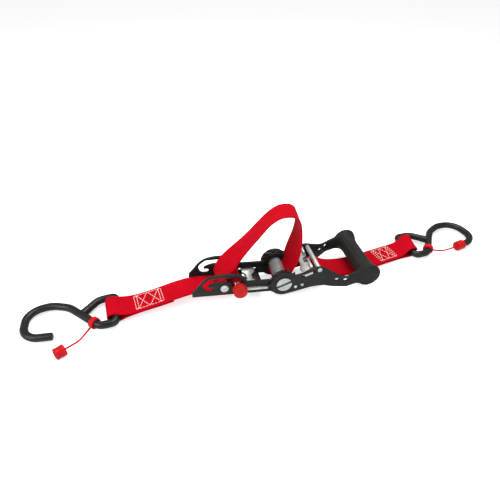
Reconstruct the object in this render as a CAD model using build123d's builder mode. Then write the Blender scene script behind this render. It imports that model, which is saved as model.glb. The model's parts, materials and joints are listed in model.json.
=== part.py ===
"""Ratchet tie-down: a webbing ratchet with a quick-slack bar, two short straps and two S hooks.

Millimetres. X runs along the straps (left hook at -X), Y across them, Z up from the ground.
The origin is on the ground under the middle of the whole tie-down.
Side shapes are drawn on planes that face -Y; their local x runs along the ratchet and their
local y points up from the spool's axis.
"""
import os
from math import atan2, cos, degrees, hypot, pi, radians, sin, sqrt, tan

from build123d import *

os.makedirs("parts", exist_ok=True)

# ---------------------------------------------------------------- driving dimensions
# Where the ratchet stands
spool_x = 3.0                # spool axis along X
mid_y = -10.0                # middle plane of the ratchet
lobe_radius = 16.3           # foot of each frame plate, which rolls on the ground
frame_pitch = 5.3            # degrees, left end of the frame tipped up
handle_lift = 3.0            # degrees, grip end of the closed handle tipped up

# Clearances
running_gap = 0.05           # radial, between a shaft and its hole
side_gap = 0.3               # between plates that turn past each other
cloth_gap = 0.3              # between webbing and metal that moves against it
pawl_gap = 0.3               # between a pawl and the slot or tooth crest beside it

# Webbing
web_width = 25.4
web_thick = 1.7

# Side stack, from the middle plane outwards
plate_side_gap = 1.2         # webbing edge to frame plate
frame_thick = 2.3
wheel_thick = 2.2
handle_thick = 2.3

# Spool
spool_radius = 7.0
spool_slot = 2.6
slot_angle = 20.0            # degrees, slot of the resting spool
spool_head_radius = 7.9
spool_head_thick = 1.2
spool_bore = spool_radius + running_gap
clip_radius = 8.6
clip_thick = 0.9

# Ratchet wheels
wheel_radius = 15.5
tooth_root = 12.9
tooth_count = 12
tooth_pitch = 360.0 / tooth_count
gap_angle = 17.7             # degrees, a tooth gap of the resting wheel

# Frame plates, drawn from the spool axis
frame_bottom = -12.3
frame_left = -90.5
frame_nose = 5.0             # height of the plates' square left end
frame_mid_top = 2.3
frame_boss_radius = 12.2
frame_tail_top = 3.0
cross_web_thick = 1.5
cross_web_lip = 4.0

# Arched slot, its lock bar and knobs
bar_radius = 2.2
slot_width = 2 * (bar_radius + pawl_gap)
horn_width = slot_width - 0.2
arc_u = -63.1
arc_v = -17.4
arc_radius = 23.7
bar_rest_angle = 40.2        # degrees round the slot's arc
bar_travel = 88.0            # degrees
knob_radius = 7.1
knob_neck_radius = 4.4
knob_gap = 0.6               # frame plate to knob
knob_length = 8.5
knob_skin = 3.0              # moulding beyond the bar's end

# Cross bolt that the strap doubles round
bolt_u = -59.2
bolt_v = -3.7
bolt_radius = 2.5
sleeve_radius = 3.7
bolt_head_radius = 4.1
bolt_head_thick = 1.6

# Anchor bolt of the short strap
anchor_u = 38.0
anchor_v = 2.5
anchor_lobe_radius = 7.0
anchor_radius = 3.0
anchor_head_radius = 4.6
anchor_head_thick = 1.5

# Lock pawl, which slides in the frame
pawl_thick = 2.4
lock_pawl_v = -5.6
lock_pawl_left = -36.5
lock_pawl_right = -23.0
lock_travel_in = 2.9         # from rest to the bottom of a tooth gap
lock_travel_out = 2.0        # from rest to fully drawn back

# Drive pawl, which slides in the handle
drive_angle = gap_angle - handle_lift
drive_tip = wheel_radius + pawl_gap
drive_inner = 21.0
drive_outer = 33.0
drive_travel_in = 2.6
drive_travel_out = 3.0
flange_height = 5.0
flange_thick = 1.8

# Springs of the pawls
spring_radius = 2.1
spring_wire = 0.5
seat_rod_radius = 1.6
spacer_radius = seat_rod_radius + 0.8
spacer_head_thick = 0.8

# Handle
handle_boss_radius = 13.6
arm_flare_start = 43.0
arm_flare_end = 63.0
arm_spread = 10.0            # how far each arm steps outwards
arm_end_radius = 6.2         # round end of each arm, inside the grip
hole_radius = 2.0
small_hole_radius = 1.3

# Grip
grip_u = 85.5
grip_radius = 9.6
grip_length = 68.0
grip_end_radius = 13.2
grip_rim = 3.0               # from each end to the flare's widest place
grip_rod_radius = 4.0
grip_rod_skin = 1.5          # rubber over each end of the rod
boot_cover = 4.5             # rubber on the inner side of each arm

# Hooks: vinyl-coated wire bent flat
wire_radius = 3.75
eye_side_room = 5.6          # webbing edge to the centre of the eye's side
left_eye = (-162.0, mid_y - 8.0)
right_eye = (162.0, mid_y + 22.0)
left_hook_yaw = 0.0
right_hook_yaw = 10.0
eye_height = wire_radius + cloth_gap + web_thick + 0.2
left_hook_pitch = 0.6        # degrees, far end towards the ground
right_hook_pitch = 0.0

# Tip caps with their tethers
ring_wall = 1.8
ring_width = 5.0
cap_wall = 1.7
cap_length = 9.5
cap_bore_depth = 7.0
cap_bore_radius = wire_radius + running_gap
tether_radius = 0.9

# ---------------------------------------------------------------- worked-out levels
frame_in = web_width / 2 + plate_side_gap
frame_out = frame_in + frame_thick
wheel_in = frame_out + side_gap
wheel_out = wheel_in + wheel_thick
handle_in = wheel_out + side_gap
handle_out = handle_in + handle_thick
spool_z = lobe_radius


# ---------------------------------------------------------------- helpers
def side_plane(tip, out=0.0, u=0.0, v=0.0):
    """Plane facing -Y, tipped by some degrees, `out` in front of the middle plane."""
    run = (cos(radians(tip)), 0, sin(radians(tip)))
    base = Plane(origin=(spool_x, mid_y - out, spool_z), x_dir=run, z_dir=(0, -1, 0))
    return Plane(origin=base.from_local_coords((u, v, 0)), x_dir=run, z_dir=(0, -1, 0))


def flat_plane(tip, u=0.0, v=0.0):
    """Plane across the ratchet: local x along it, local y to the rear, facing up."""
    run = (cos(radians(tip)), 0, sin(radians(tip)))
    up = (-sin(radians(tip)), 0, cos(radians(tip)))
    spot = (spool_x + run[0] * u + up[0] * v, mid_y, spool_z + run[2] * u + up[2] * v)
    return Plane(origin=spot, x_dir=run, z_dir=up)


middle = Plane.XZ.offset(-mid_y)
frame_tip = -frame_pitch
handle_tip = handle_lift


def polar(radius, angle):
    return (radius * cos(radians(angle)), radius * sin(radians(angle)))


def keep(builder, name):
    """Label a finished piece and write its file."""
    builder.part.label = name
    export_step(builder.part, f"parts/{name}.step")


def arc_point(angle):
    """A point of the slot's arc, in the frame plates' own drawing."""
    du, dv = polar(arc_radius, angle)
    return (arc_u + du, arc_v + dv)


# ---------------------------------------------------------------- frame plates
bar_u, bar_v = arc_point(bar_rest_angle)
lock_tip_u = -sqrt(drive_tip**2 - (abs(lock_pawl_v) - pawl_thick / 2) ** 2)
lock_waist_left = lock_pawl_left + 3.2
pawl_slot_left = lock_pawl_left - lock_travel_out - pawl_gap
pawl_slot_right = lock_pawl_right + lock_travel_in + pawl_gap

with BuildPart() as frame_plate_front:
    with BuildSketch(side_plane(frame_tip, frame_in)):
        with BuildLine():
            arch = Spline(
                (frame_left, frame_bottom + frame_nose), (-84.4, 1.0), (-78.6, 7.8), (-71.5, 11.3),
                (-62.0, 12.7), (-50.0, 12.2), (-43.6, 10.0), (-39.8, 6.6), (-36.6, frame_mid_top),
            )
            Polyline(
                arch @ 1, (-9.0, frame_mid_top), (9.0, frame_tail_top), (anchor_u, frame_tail_top),
                (anchor_u, anchor_v - anchor_lobe_radius), (14.0, frame_bottom),
                (frame_left, frame_bottom), arch @ 0,
            )
        make_face()
        Circle(frame_boss_radius)
        with Locations((anchor_u, anchor_v)):
            Circle(anchor_lobe_radius)
        # foot below the spool: the lower part of a larger disc
        with BuildSketch(mode=Mode.PRIVATE) as foot:
            Circle(lobe_radius)
            with Locations((0, lobe_radius - frame_boss_radius / 2)):
                Rectangle(3 * lobe_radius, 2 * lobe_radius, mode=Mode.SUBTRACT)
        add(foot.sketch)
        # arched slot: the bar's own arc, then the hooked run that follows it and turns in
        with BuildLine(mode=Mode.PRIVATE) as swing:
            CenterArc((arc_u, arc_v), arc_radius, bar_rest_angle, bar_travel)
        SlotArc(swing.wire(), slot_width, mode=Mode.SUBTRACT)
        with BuildLine(mode=Mode.PRIVATE) as horns:
            FilletPolyline(
                (bar_u, bar_v - 1.0), (bar_u + 2.4, bar_v + 3.2), (bar_u - 1.6, bar_v + 7.3),
                (-61.0, 6.9), (-73.5, 6.4), (-79.2, 1.2), (-76.6, -4.2), (-72.4, -4.2),
                radius=[2.4, 3.4, 8.0, 4.0, 3.0, 1.8],
            )
        SlotArc(horns.wire(), horn_width, mode=Mode.SUBTRACT)
        # slot that guides the lock pawl
        with Locations(((pawl_slot_left + pawl_slot_right) / 2, lock_pawl_v)):
            Rectangle(
                pawl_slot_right - pawl_slot_left, pawl_thick + 2 * pawl_gap, mode=Mode.SUBTRACT
            )
        Circle(spool_bore, mode=Mode.SUBTRACT)
        with Locations((bolt_u, bolt_v)):
            Circle(bolt_radius + running_gap, mode=Mode.SUBTRACT)
        with Locations((anchor_u, anchor_v)):
            Circle(anchor_radius + running_gap, mode=Mode.SUBTRACT)
    extrude(amount=frame_thick)
keep(frame_plate_front, "frame_plate_front")

with BuildPart() as frame_plate_rear:
    mirror(frame_plate_front.part, about=middle)
keep(frame_plate_rear, "frame_plate_rear")

# bent cross web that ties the plates together under the lock pawl
web_top = lock_pawl_v - pawl_thick / 2 - pawl_gap
web_left = lock_waist_left + pawl_gap
web_right = pawl_slot_right + 0.2
with BuildPart() as frame_cross_web:
    with BuildSketch(side_plane(frame_tip)):
        with BuildLine():
            Polyline(
                (web_left, web_top), (web_right + cross_web_thick, web_top),
                (web_right + cross_web_thick, web_top - cross_web_lip), (web_right, web_top - cross_web_lip),
                (web_right, web_top - cross_web_thick), (web_left, web_top - cross_web_thick), close=True,
            )
        make_face()
        fillet(vertices().sort_by_distance((web_right + cross_web_thick, web_top))[0], 1.2)
    extrude(amount=frame_in, both=True)
keep(frame_cross_web, "frame_cross_web")


# ---------------------------------------------------------------- bolts of the frame
def bolt(u, v, radius, head_radius, head_thick, tail):
    """Headed pin from the front plate's face through to `tail` behind the rear plate."""
    with BuildPart() as made:
        with BuildSketch(side_plane(frame_tip, frame_out, u, v)):
            Circle(radius)
        extrude(amount=-(2 * frame_out + tail))
        with BuildSketch(side_plane(frame_tip, frame_out, u, v)):
            Circle(head_radius)
        extrude(amount=head_thick)
        chamfer(made.faces().sort_by(Axis.Y)[0].edges(), head_thick / 3)
    return made


def hex_nut(u, v, radius, across, thick):
    """Hexagonal nut seated on the rear plate, on a stud of the given radius."""
    with BuildPart() as made:
        with BuildSketch(side_plane(frame_tip, -frame_out, u, v)):
            RegularPolygon(across, 6)
            Circle(radius + running_gap, mode=Mode.SUBTRACT)
        extrude(amount=-thick)
    return made


keep(bolt(bolt_u, bolt_v, bolt_radius, bolt_head_radius, bolt_head_thick, 1.5), "cross_bolt")
keep(hex_nut(bolt_u, bolt_v, bolt_radius, bolt_head_radius, 1.5), "cross_bolt_nut")
keep(
    bolt(anchor_u, anchor_v, anchor_radius, anchor_head_radius, anchor_head_thick, 1.7),
    "anchor_bolt",
)
keep(hex_nut(anchor_u, anchor_v, anchor_radius, anchor_head_radius, 1.7), "anchor_bolt_nut")

with BuildPart() as cross_bolt_sleeve:
    with BuildSketch(side_plane(frame_tip, 0, bolt_u, bolt_v)):
        Circle(sleeve_radius)
        Circle(bolt_radius + running_gap, mode=Mode.SUBTRACT)
    extrude(amount=frame_in - running_gap, both=True)
keep(cross_bolt_sleeve, "cross_bolt_sleeve")

# ---------------------------------------------------------------- lock pawl and its spring
finger_in = frame_out + 0.2
finger_out = wheel_out - 0.1
waist_half = 3.5
with BuildPart() as lock_pawl:
    with BuildSketch(flat_plane(frame_tip, 0, lock_pawl_v)):
        with BuildLine():
            Polyline(
                (lock_waist_left, 0), (lock_waist_left, waist_half), (lock_pawl_left, 8.5),
                (lock_pawl_left, finger_out), (lock_tip_u, finger_out), (lock_tip_u, finger_in),
                (lock_pawl_right, finger_in), (lock_pawl_right, 8.5),
                (lock_pawl_right - 4.6, waist_half), (lock_pawl_right - 4.6, 0),
            )
            mirror(about=Plane.XZ)
        make_face()
    extrude(amount=pawl_thick / 2, both=True)
keep(lock_pawl, "lock_pawl")

seat_u = lock_waist_left - 4.6
seat_v = lock_pawl_v - 4.2
with BuildPart() as lock_spring_seat:
    with BuildSketch(side_plane(frame_tip, 0, seat_u - 0.4, seat_v)):
        Circle(seat_rod_radius)
    extrude(amount=frame_in, both=True)
    with BuildSketch(side_plane(frame_tip, 0, seat_u, seat_v)):
        with Locations((-0.65, 3.4)):
            Rectangle(1.3, 6.8)
    extrude(amount=waist_half - 0.3, both=True)
keep(lock_spring_seat, "lock_spring_seat")


def spring(tip, start_u, v, length):
    """Outer form of a small compression spring lying along the ratchet."""
    spot = side_plane(tip, 0, start_u, v)
    with BuildPart() as made:
        with BuildSketch(Plane(origin=spot.origin, x_dir=(0, 1, 0), z_dir=spot.x_dir)):
            Circle(spring_radius)
            Circle(spring_radius - 2 * spring_wire, mode=Mode.SUBTRACT)
        extrude(amount=length)
    return made


keep(spring(frame_tip, seat_u, lock_pawl_v, lock_waist_left - seat_u), "lock_pawl_spring")

# ---------------------------------------------------------------- lock bar, knobs, wrapped strap
knob_in = frame_out + knob_gap
knob_step = handle_in
knob_out = knob_step + knob_length
with BuildPart() as lock_bar:
    with BuildSketch(side_plane(frame_tip, 0, bar_u, bar_v)):
        Circle(bar_radius)
    extrude(amount=knob_out - knob_skin, both=True)
keep(lock_bar, "lock_bar")

with BuildPart() as knob_front:
    with BuildSketch(side_plane(frame_tip, knob_in, bar_u, bar_v)):
        Circle(knob_neck_radius)
    extrude(amount=knob_step - knob_in)
    with BuildSketch(side_plane(frame_tip, knob_step, bar_u, bar_v)):
        Circle(knob_radius)
    extrude(amount=knob_length)
    fillet(knob_front.faces().sort_by(Axis.Y)[0].edges(), 2.2)
    with BuildSketch(side_plane(frame_tip, knob_in, bar_u, bar_v)):
        Circle(bar_radius + running_gap)
    extrude(amount=knob_out - knob_skin - knob_in, mode=Mode.SUBTRACT)
keep(knob_front, "knob_front")

with BuildPart() as knob_rear:
    mirror(knob_front.part, about=middle)
keep(knob_rear, "knob_rear")

wrap_radius = bar_radius + running_gap + web_thick / 2
with BuildPart() as strap_on_bar:
    with BuildSketch(side_plane(frame_tip, 0, bar_u, bar_v)):
        with BuildLine(mode=Mode.PRIVATE) as bar_turn:
            CenterArc((0, 0), wrap_radius, -85, 170)
        SlotArc(bar_turn.wire(), web_thick)
    extrude(amount=web_width / 2, both=True)
keep(strap_on_bar, "strap_on_bar")

# ---------------------------------------------------------------- spool
spool_front = handle_out + 0.15
spool_rear = handle_out + 0.15 + clip_thick + 1.1


def spool_half(side):
    """One half-round shaft with its half head; side is +1 above the slot and -1 below it."""
    with BuildPart() as made:
        with BuildSketch(side_plane(slot_angle, spool_front)):
            Circle(spool_radius)
            with Locations((0, side * (spool_slot / 2 - spool_radius))):
                Rectangle(3 * spool_radius, 2 * spool_radius, mode=Mode.SUBTRACT)
        extrude(amount=-(spool_front + spool_rear))
        with BuildSketch(side_plane(slot_angle, spool_front)):
            Circle(spool_head_radius)
            with Locations((0, side * (spool_slot / 2 - spool_head_radius))):
                Rectangle(3 * spool_head_radius, 2 * spool_head_radius, mode=Mode.SUBTRACT)
        extrude(amount=spool_head_thick)
        # groove for the retaining ring
        with BuildSketch(side_plane(slot_angle, -handle_out - 0.1)):
            Circle(spool_radius + 1)
            Circle(clip_bore, mode=Mode.SUBTRACT)
        extrude(amount=-(clip_thick + 0.1), mode=Mode.SUBTRACT)
    return made


clip_bore = spool_radius - 0.9
keep(spool_half(1), "spool_half_upper")
keep(spool_half(-1), "spool_half_lower")

with BuildPart() as spool_ring:
    with BuildSketch(side_plane(0, -handle_out - 0.15)):
        Circle(clip_radius)
        Circle(clip_bore + running_gap, mode=Mode.SUBTRACT)
        with Locations((0, -clip_radius)):
            Rectangle(4.0, clip_radius, mode=Mode.SUBTRACT)
    extrude(amount=-clip_thick)
keep(spool_ring, "spool_retaining_ring")

# ---------------------------------------------------------------- ratchet wheels
tooth_corners = []
for tooth in range(tooth_count):
    gap = gap_angle + tooth * tooth_pitch
    tooth_corners += [polar(tooth_root, gap - 7.0), polar(tooth_root, gap + 8.0)]
    tooth_corners += [polar(wheel_radius, gap + 21.0), polar(wheel_radius, gap + 23.7)]

with BuildPart() as wheel_front:
    with BuildSketch(side_plane(0, wheel_in)):
        with BuildLine():
            Polyline(*tooth_corners, close=True)
        make_face()
        Circle(spool_bore, mode=Mode.SUBTRACT)
        Rectangle(2 * spool_bore + 1, spool_slot - 2 * running_gap, rotation=slot_angle)
    extrude(amount=wheel_thick)
keep(wheel_front, "ratchet_wheel_front")

with BuildPart() as wheel_rear:
    mirror(wheel_front.part, about=middle)
keep(wheel_rear, "ratchet_wheel_rear")

# ---------------------------------------------------------------- handle plates and grip
grip_end = grip_length / 2
arm_shift = handle_in + arm_spread
ear_slot_in = drive_inner + 1.5 - drive_travel_in - pawl_gap
ear_slot_out = drive_outer - 2.0 + drive_travel_out + pawl_gap
seat_radius = drive_outer + 5.4
seat_handle = polar(seat_radius, drive_angle)

with BuildPart() as handle_plate_front:
    with BuildSketch(side_plane(handle_tip)):
        with BuildLine():
            lower = Spline(
                (-2.0, -13.3), (17.0, -12.0), (33.0, -10.9), (46.0, -12.3), (60.0, -10.8),
                (grip_u, -arm_end_radius),
            )
            Line(lower @ 1, (grip_u, arm_end_radius))
            upper = Spline(
                (grip_u, arm_end_radius), (70.0, 3.8), (59.5, 2.2), (49.0, 7.0), (40.5, 11.6),
                (33.0, 12.9), (22.0, 9.0), (11.0, 8.6),
            )
            Line(upper @ 1, (-2.0, 0.0))
            Line((-2.0, 0.0), lower @ 0)
        make_face()
        Circle(handle_boss_radius)
        with Locations((grip_u, 0)):
            Circle(arm_end_radius)
            Circle(grip_rod_radius + running_gap, mode=Mode.SUBTRACT)
        with Locations((54.0, -2.6), (61.5, -1.6)):
            Circle(hole_radius, mode=Mode.SUBTRACT)
        with Locations((12.0, -6.4), (19.0, -5.4)):
            Circle(small_hole_radius, mode=Mode.SUBTRACT)
        Circle(spool_bore, mode=Mode.SUBTRACT)
        with Locations(seat_handle):
            Circle(seat_rod_radius + running_gap, mode=Mode.SUBTRACT)
        with Locations(polar((ear_slot_in + ear_slot_out) / 2, drive_angle)):
            Rectangle(
                ear_slot_out - ear_slot_in, pawl_thick + 2 * pawl_gap, rotation=drive_angle,
                mode=Mode.SUBTRACT,
            )
    extrude(amount=60, both=True)
    # the plate's plan: straight beside the spool, stepping out to the grip
    with BuildSketch(flat_plane(handle_tip)):
        with BuildLine():
            Polyline(
                (-30.0, -handle_in), (arm_flare_start, -handle_in), (arm_flare_end, -arm_shift),
                (grip_u + 10, -arm_shift), (grip_u + 10, -arm_shift - handle_thick),
                (arm_flare_end - 0.5, -arm_shift - handle_thick),
                (arm_flare_start - 0.5, -handle_out), (-30.0, -handle_out), close=True,
            )
        make_face()
    extrude(amount=40, both=True, mode=Mode.INTERSECT)
keep(handle_plate_front, "handle_plate_front")

with BuildPart() as handle_plate_rear:
    mirror(handle_plate_front.part, about=middle)
keep(handle_plate_rear, "handle_plate_rear")

with BuildPart() as grip_rod:
    with BuildSketch(side_plane(handle_tip, 0, grip_u)):
        Circle(grip_rod_radius)
    extrude(amount=grip_end - grip_rod_skin, both=True)
keep(grip_rod, "grip_rod")

grip_plane = flat_plane(handle_tip, grip_u)
with BuildPart() as grip:
    with BuildSketch(grip_plane):
        with BuildLine():
            half = Spline(
                (grip_radius, 0), (grip_radius, grip_end - 20.0), (grip_radius + 0.7, grip_end - 11.0),
                (grip_end_radius, grip_end - grip_rim), (grip_end_radius - 1.2, grip_end),
            )
            Line(half @ 1, (0, grip_end))
            Line((0, grip_end), (0, 0))
            mirror(about=Plane.XZ)
        make_face()
    revolve(axis=Axis(grip_plane.origin, (0, 1, 0)))
    # boots that cover the arms' ends
    with BuildSketch(side_plane(handle_tip)):
        with Locations((grip_u - 7.5, 0)):
            RectangleRounded(17.0, 15.6, 4.0)
    extrude(amount=grip_end - grip_rod_skin, both=True)
    with BuildSketch(side_plane(handle_tip)):
        with Locations((grip_u - 12.0, 0)):
            Rectangle(24.0, 30.0)
        with Locations((grip_u, 0)):
            Circle(grip_radius, mode=Mode.SUBTRACT)
    extrude(amount=arm_shift - boot_cover, both=True, mode=Mode.SUBTRACT)
    add([handle_plate_front.part, handle_plate_rear.part, grip_rod.part], mode=Mode.SUBTRACT)
keep(grip, "grip")

with BuildPart() as handle_spacer:
    with BuildSketch(side_plane(handle_tip, 0, *seat_handle)):
        Circle(spacer_radius)
    extrude(amount=handle_in, both=True)
    with BuildSketch(side_plane(handle_tip, 0, *seat_handle)):
        Circle(seat_rod_radius)
    extrude(amount=handle_out, both=True)
    with BuildSketch(side_plane(handle_tip, handle_out, *seat_handle)):
        Circle(spacer_radius)
    extrude(amount=spacer_head_thick)
    with BuildSketch(side_plane(handle_tip, -handle_out, *seat_handle)):
        Circle(spacer_radius)
    extrude(amount=-spacer_head_thick)
keep(handle_spacer, "handle_spacer")

# ---------------------------------------------------------------- drive pawl and its spring
drive_waist = drive_outer - 5.0
with BuildPart() as drive_pawl:
    with BuildSketch(flat_plane(gap_angle)):
        with BuildLine():
            Polyline(
                (drive_inner + 2.5, 0), (drive_inner + 2.5, waist_half), (drive_inner, 9.0),
                (drive_inner, finger_in), (drive_tip, finger_in), (drive_tip, finger_out),
                (drive_inner + 1.5, finger_out), (drive_inner + 1.5, handle_out + 0.3),
                (drive_outer - 2.0, handle_out + 0.3), (drive_outer - 2.0, handle_in - 0.2),
                (drive_outer, handle_in - 0.2), (drive_outer, 6.0), (drive_waist, waist_half),
                (drive_waist, 0),
            )
            mirror(about=Plane.XZ)
        make_face()
    extrude(amount=pawl_thick / 2, both=True)
    # turned-up release flange, open in the middle for the spring
    with BuildSketch(flat_plane(gap_angle)):
        with Locations((drive_outer - flange_thick / 2, 0)):
            Rectangle(flange_thick, 2 * (handle_in - 0.2))
            Rectangle(flange_thick, 2 * 6.0, mode=Mode.SUBTRACT)
    extrude(amount=pawl_thick / 2 + flange_height)
keep(drive_pawl, "drive_pawl")

keep(
    spring(gap_angle, drive_waist, 0, seat_radius - spacer_radius - drive_waist),
    "drive_pawl_spring",
)


# ---------------------------------------------------------------- webbing
def turned(u, v, tip):
    """A frame or handle point as an offset from the spool's axis, level with the ground."""
    return (
        u * cos(radians(tip)) - v * sin(radians(tip)),
        u * sin(radians(tip)) + v * cos(radians(tip)),
    )


def in_frame(u, v):
    return turned(u, v, frame_tip)


strap_inner = spool_radius + running_gap
with BuildPart() as strap_on_spool:
    with BuildSketch(side_plane(slot_angle)):
        with BuildLine(mode=Mode.PRIVATE) as spool_turn:
            CenterArc((0, 0), strap_inner + web_thick / 2, 186, 150)
        SlotArc(spool_turn.wire(), web_thick)
        with BuildLine(mode=Mode.PRIVATE) as spool_tail:
            FilletPolyline(
                (spool_radius - 2.0, 0), (-strap_inner - 0.6, 0), (-strap_inner - 0.9, -2.4), radius=1.0
            )
        SlotArc(spool_tail.wire(), web_thick)
    extrude(amount=web_width / 2, both=True)
keep(strap_on_spool, "strap_on_spool")

under_bolt = bolt_v - sleeve_radius - cloth_gap - web_thick / 2
lower_layer = under_bolt - web_thick - cloth_gap
beside_bolt = bolt_u - sleeve_radius - cloth_gap - web_thick / 2
with BuildPart() as strap_loop:
    with BuildSketch(side_plane(0)):
        with BuildLine(mode=Mode.PRIVATE) as loop_line:
            FilletPolyline(
                in_frame(bar_u - 1.9, bar_v + 3.5), in_frame(bar_u - 6.2, bar_v - 0.3),
                in_frame(bolt_u + 3.6, under_bolt), in_frame(beside_bolt, under_bolt),
                in_frame(beside_bolt, bolt_v + 2.2), in_frame(beside_bolt + 3.4, 8.0),
                (-38.0, 39.2), (-20.5, 60.2), (-9.5, 71.5), (0.0, 74.8), (8.5, 69.0),
                (14.5, 55.0), (16.6, 36.0), (12.5, 14.5),
                polar(spool_radius + 2.75, slot_angle + 8.1), polar(spool_radius + 1.6, slot_angle - 5.2),
                radius=[
                    2.5, 3.0, sleeve_radius + cloth_gap + web_thick / 2, 6.0, 14.0, 40.0, 30.0, 8.0,
                    7.0, 7.0, 30.0, 40.0, 30.0, 10.0,
                ],
            )
        SlotArc(loop_line.wire(), web_thick)
    extrude(amount=web_width / 2, both=True)
keep(strap_loop, "strap_loop")


def strap_leg(path, thick, start, yaw):
    """Solid strap whose side path is drawn from `start` = (x, y) along a yawed vertical plane."""
    run = (cos(radians(yaw)), sin(radians(yaw)), 0)
    across = (sin(radians(yaw)), -cos(radians(yaw)), 0)
    with BuildSketch(Plane(origin=(start[0], start[1], 0), x_dir=run, z_dir=across)) as outline:
        with BuildLine(mode=Mode.PRIVATE) as line:
            if len(path) > 2:
                FilletPolyline(*path, radius=4.0)
            else:
                Line(*path)
        SlotArc(line.wire(), thick)
    extrude(outline.sketch, amount=web_width / 2, both=True)


def strap_eye(start, yaw, at, inner, thick):
    """Sewn eye of the strap round a wire or bolt, `at` = (run, height) on the yawed plane."""
    run = (cos(radians(yaw)), sin(radians(yaw)), 0)
    across = (sin(radians(yaw)), -cos(radians(yaw)), 0)
    plane = Plane(origin=(start[0], start[1], 0), x_dir=run, z_dir=across)
    with BuildSketch(plane) as ring:
        with Locations(at):
            Circle(inner + thick)
    extrude(ring.sketch, amount=web_width / 2, both=True)
    with BuildSketch(plane) as hole:
        with Locations(at):
            Circle(inner)
    extrude(hole.sketch, amount=web_width, both=True, mode=Mode.SUBTRACT)


def across_path(begin, end):
    """Length and yaw, in degrees, from one plan point to another."""
    du, dv = end[0] - begin[0], end[1] - begin[1]
    return hypot(du, dv), degrees(atan2(dv, du))


eye_inner = wire_radius + cloth_gap
lap_thick = 2 * web_thick + 0.2

# left strap: straight between the plates, swung a little outside them, square again at its hook
left_bend = (spool_x - 88.0, mid_y)
left_square = (left_eye[0] + 16.0, left_eye[1])
left_run, left_yaw = across_path(left_bend, left_square)
entry_z = spool_z + in_frame(-88.0, lower_layer)[1]
inside = [in_frame(-88.0, lower_layer), in_frame(bar_u - 6.8, lower_layer)]
inside += [in_frame(bar_u - 2.4, bar_v - 4.2)]
inside = [(spool_x + x, spool_z + z) for x, z in inside]
square_z = 7.2
with BuildPart() as left_strap:
    strap_leg(inside, web_thick, (0, mid_y), 0)
    strap_leg([(0, entry_z), (left_run, square_z)], lap_thick, left_bend, left_yaw)
    strap_leg(
        [(left_eye[0] + 6.0, eye_height), (left_square[0], square_z)], lap_thick, (0, left_eye[1]), 0
    )
    strap_eye((0, left_eye[1]), 0, (left_eye[0], eye_height), eye_inner, web_thick)
keep(left_strap, "left_strap")

# right strap: sewn round the anchor bolt, under the grip, out to its hook
anchor_x, anchor_z = in_frame(anchor_u, anchor_v)
anchor_x, anchor_z = spool_x + anchor_x, spool_z + anchor_z
right_out = (cos(radians(right_hook_yaw)), sin(radians(right_hook_yaw)))
right_bend = (anchor_x + 16.0, mid_y)
right_square = (right_eye[0] - 16.0 * right_out[0], right_eye[1] - 16.0 * right_out[1])
right_run, right_yaw = across_path(right_bend, right_square)
with BuildPart() as right_strap:
    strap_leg(
        [(anchor_x + 4.0, anchor_z - 2.5), (anchor_x + 16.0, 10.4)], lap_thick, (0, mid_y), 0
    )
    strap_leg(
        [(0, 10.4), (20.0, 4.6), (44.0, 2.6), (right_run, 2.8)], lap_thick, right_bend, right_yaw
    )
    strap_leg([(0, 2.8), (10.5, 4.6)], lap_thick, right_square, right_hook_yaw)
    strap_eye((0, mid_y), 0, (anchor_x, anchor_z), anchor_radius + cloth_gap, web_thick)
    strap_eye(right_square, right_hook_yaw, (16.0, eye_height), eye_inner, web_thick)
keep(right_strap, "right_strap")

# ---------------------------------------------------------------- hooks
eye_half = web_width / 2 + eye_side_room
neck_start = (15.0, -eye_half - 1.2)
neck_end = (44.0, 12.0)
hook_tip = (55.5, -23.0)
hook_heel = (72.0, -21.6)
hook_route = [
    (27.0, 4.8), (17.0, eye_half - 2.1), (0, eye_half), (0, -eye_half), neck_start, neck_end,
    (60.0, 18.5), (83.5, 15.5), (83.0, -15.0), hook_heel, hook_tip,
]
hook_radii = [12.0, 4.3, 4.3, 9.0, 24.0, 24.0, 17.0, 16.5, 13.0]


def hook_plane(eye, yaw, tip_down, side):
    """Plane of a hook: local x points out along the hook; side is +1 right and -1 left."""
    pitch = radians(tip_down)
    out = (side * cos(radians(yaw)), side * sin(radians(yaw)), -sin(pitch))
    up = (sin(pitch) * out[0], sin(pitch) * out[1], 1)
    return Plane(origin=(*eye, eye_height), x_dir=out, z_dir=up)


left_plane = hook_plane(left_eye, left_hook_yaw, left_hook_pitch, -1)
right_plane = hook_plane(right_eye, right_hook_yaw, right_hook_pitch, 1)


def hook(plane, side):
    with BuildPart() as made:
        with BuildLine(plane) as wire:
            FilletPolyline(*[(x, side * y) for x, y in hook_route], radius=hook_radii)
        with BuildSketch(Plane(origin=wire.line @ 0, z_dir=wire.line % 0)):
            Circle(wire_radius)
        sweep()
    return made


keep(hook(left_plane, -1), "left_hook")
keep(hook(right_plane, 1), "right_hook")

# ---------------------------------------------------------------- tip caps, rings and tethers
neck_run = hypot(neck_end[0] - neck_start[0], neck_end[1] - neck_start[1])
neck_dir = ((neck_end[0] - neck_start[0]) / neck_run, (neck_end[1] - neck_start[1]) / neck_run)
ring_along = 7.0
ring_spot = (neck_start[0] + neck_dir[0] * ring_along, neck_start[1] + neck_dir[1] * ring_along)
ring_outer = wire_radius + running_gap + ring_wall
tip_run = hypot(hook_tip[0] - hook_heel[0], hook_tip[1] - hook_heel[1])
tip_dir = ((hook_tip[0] - hook_heel[0]) / tip_run, (hook_tip[1] - hook_heel[1]) / tip_run)


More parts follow.
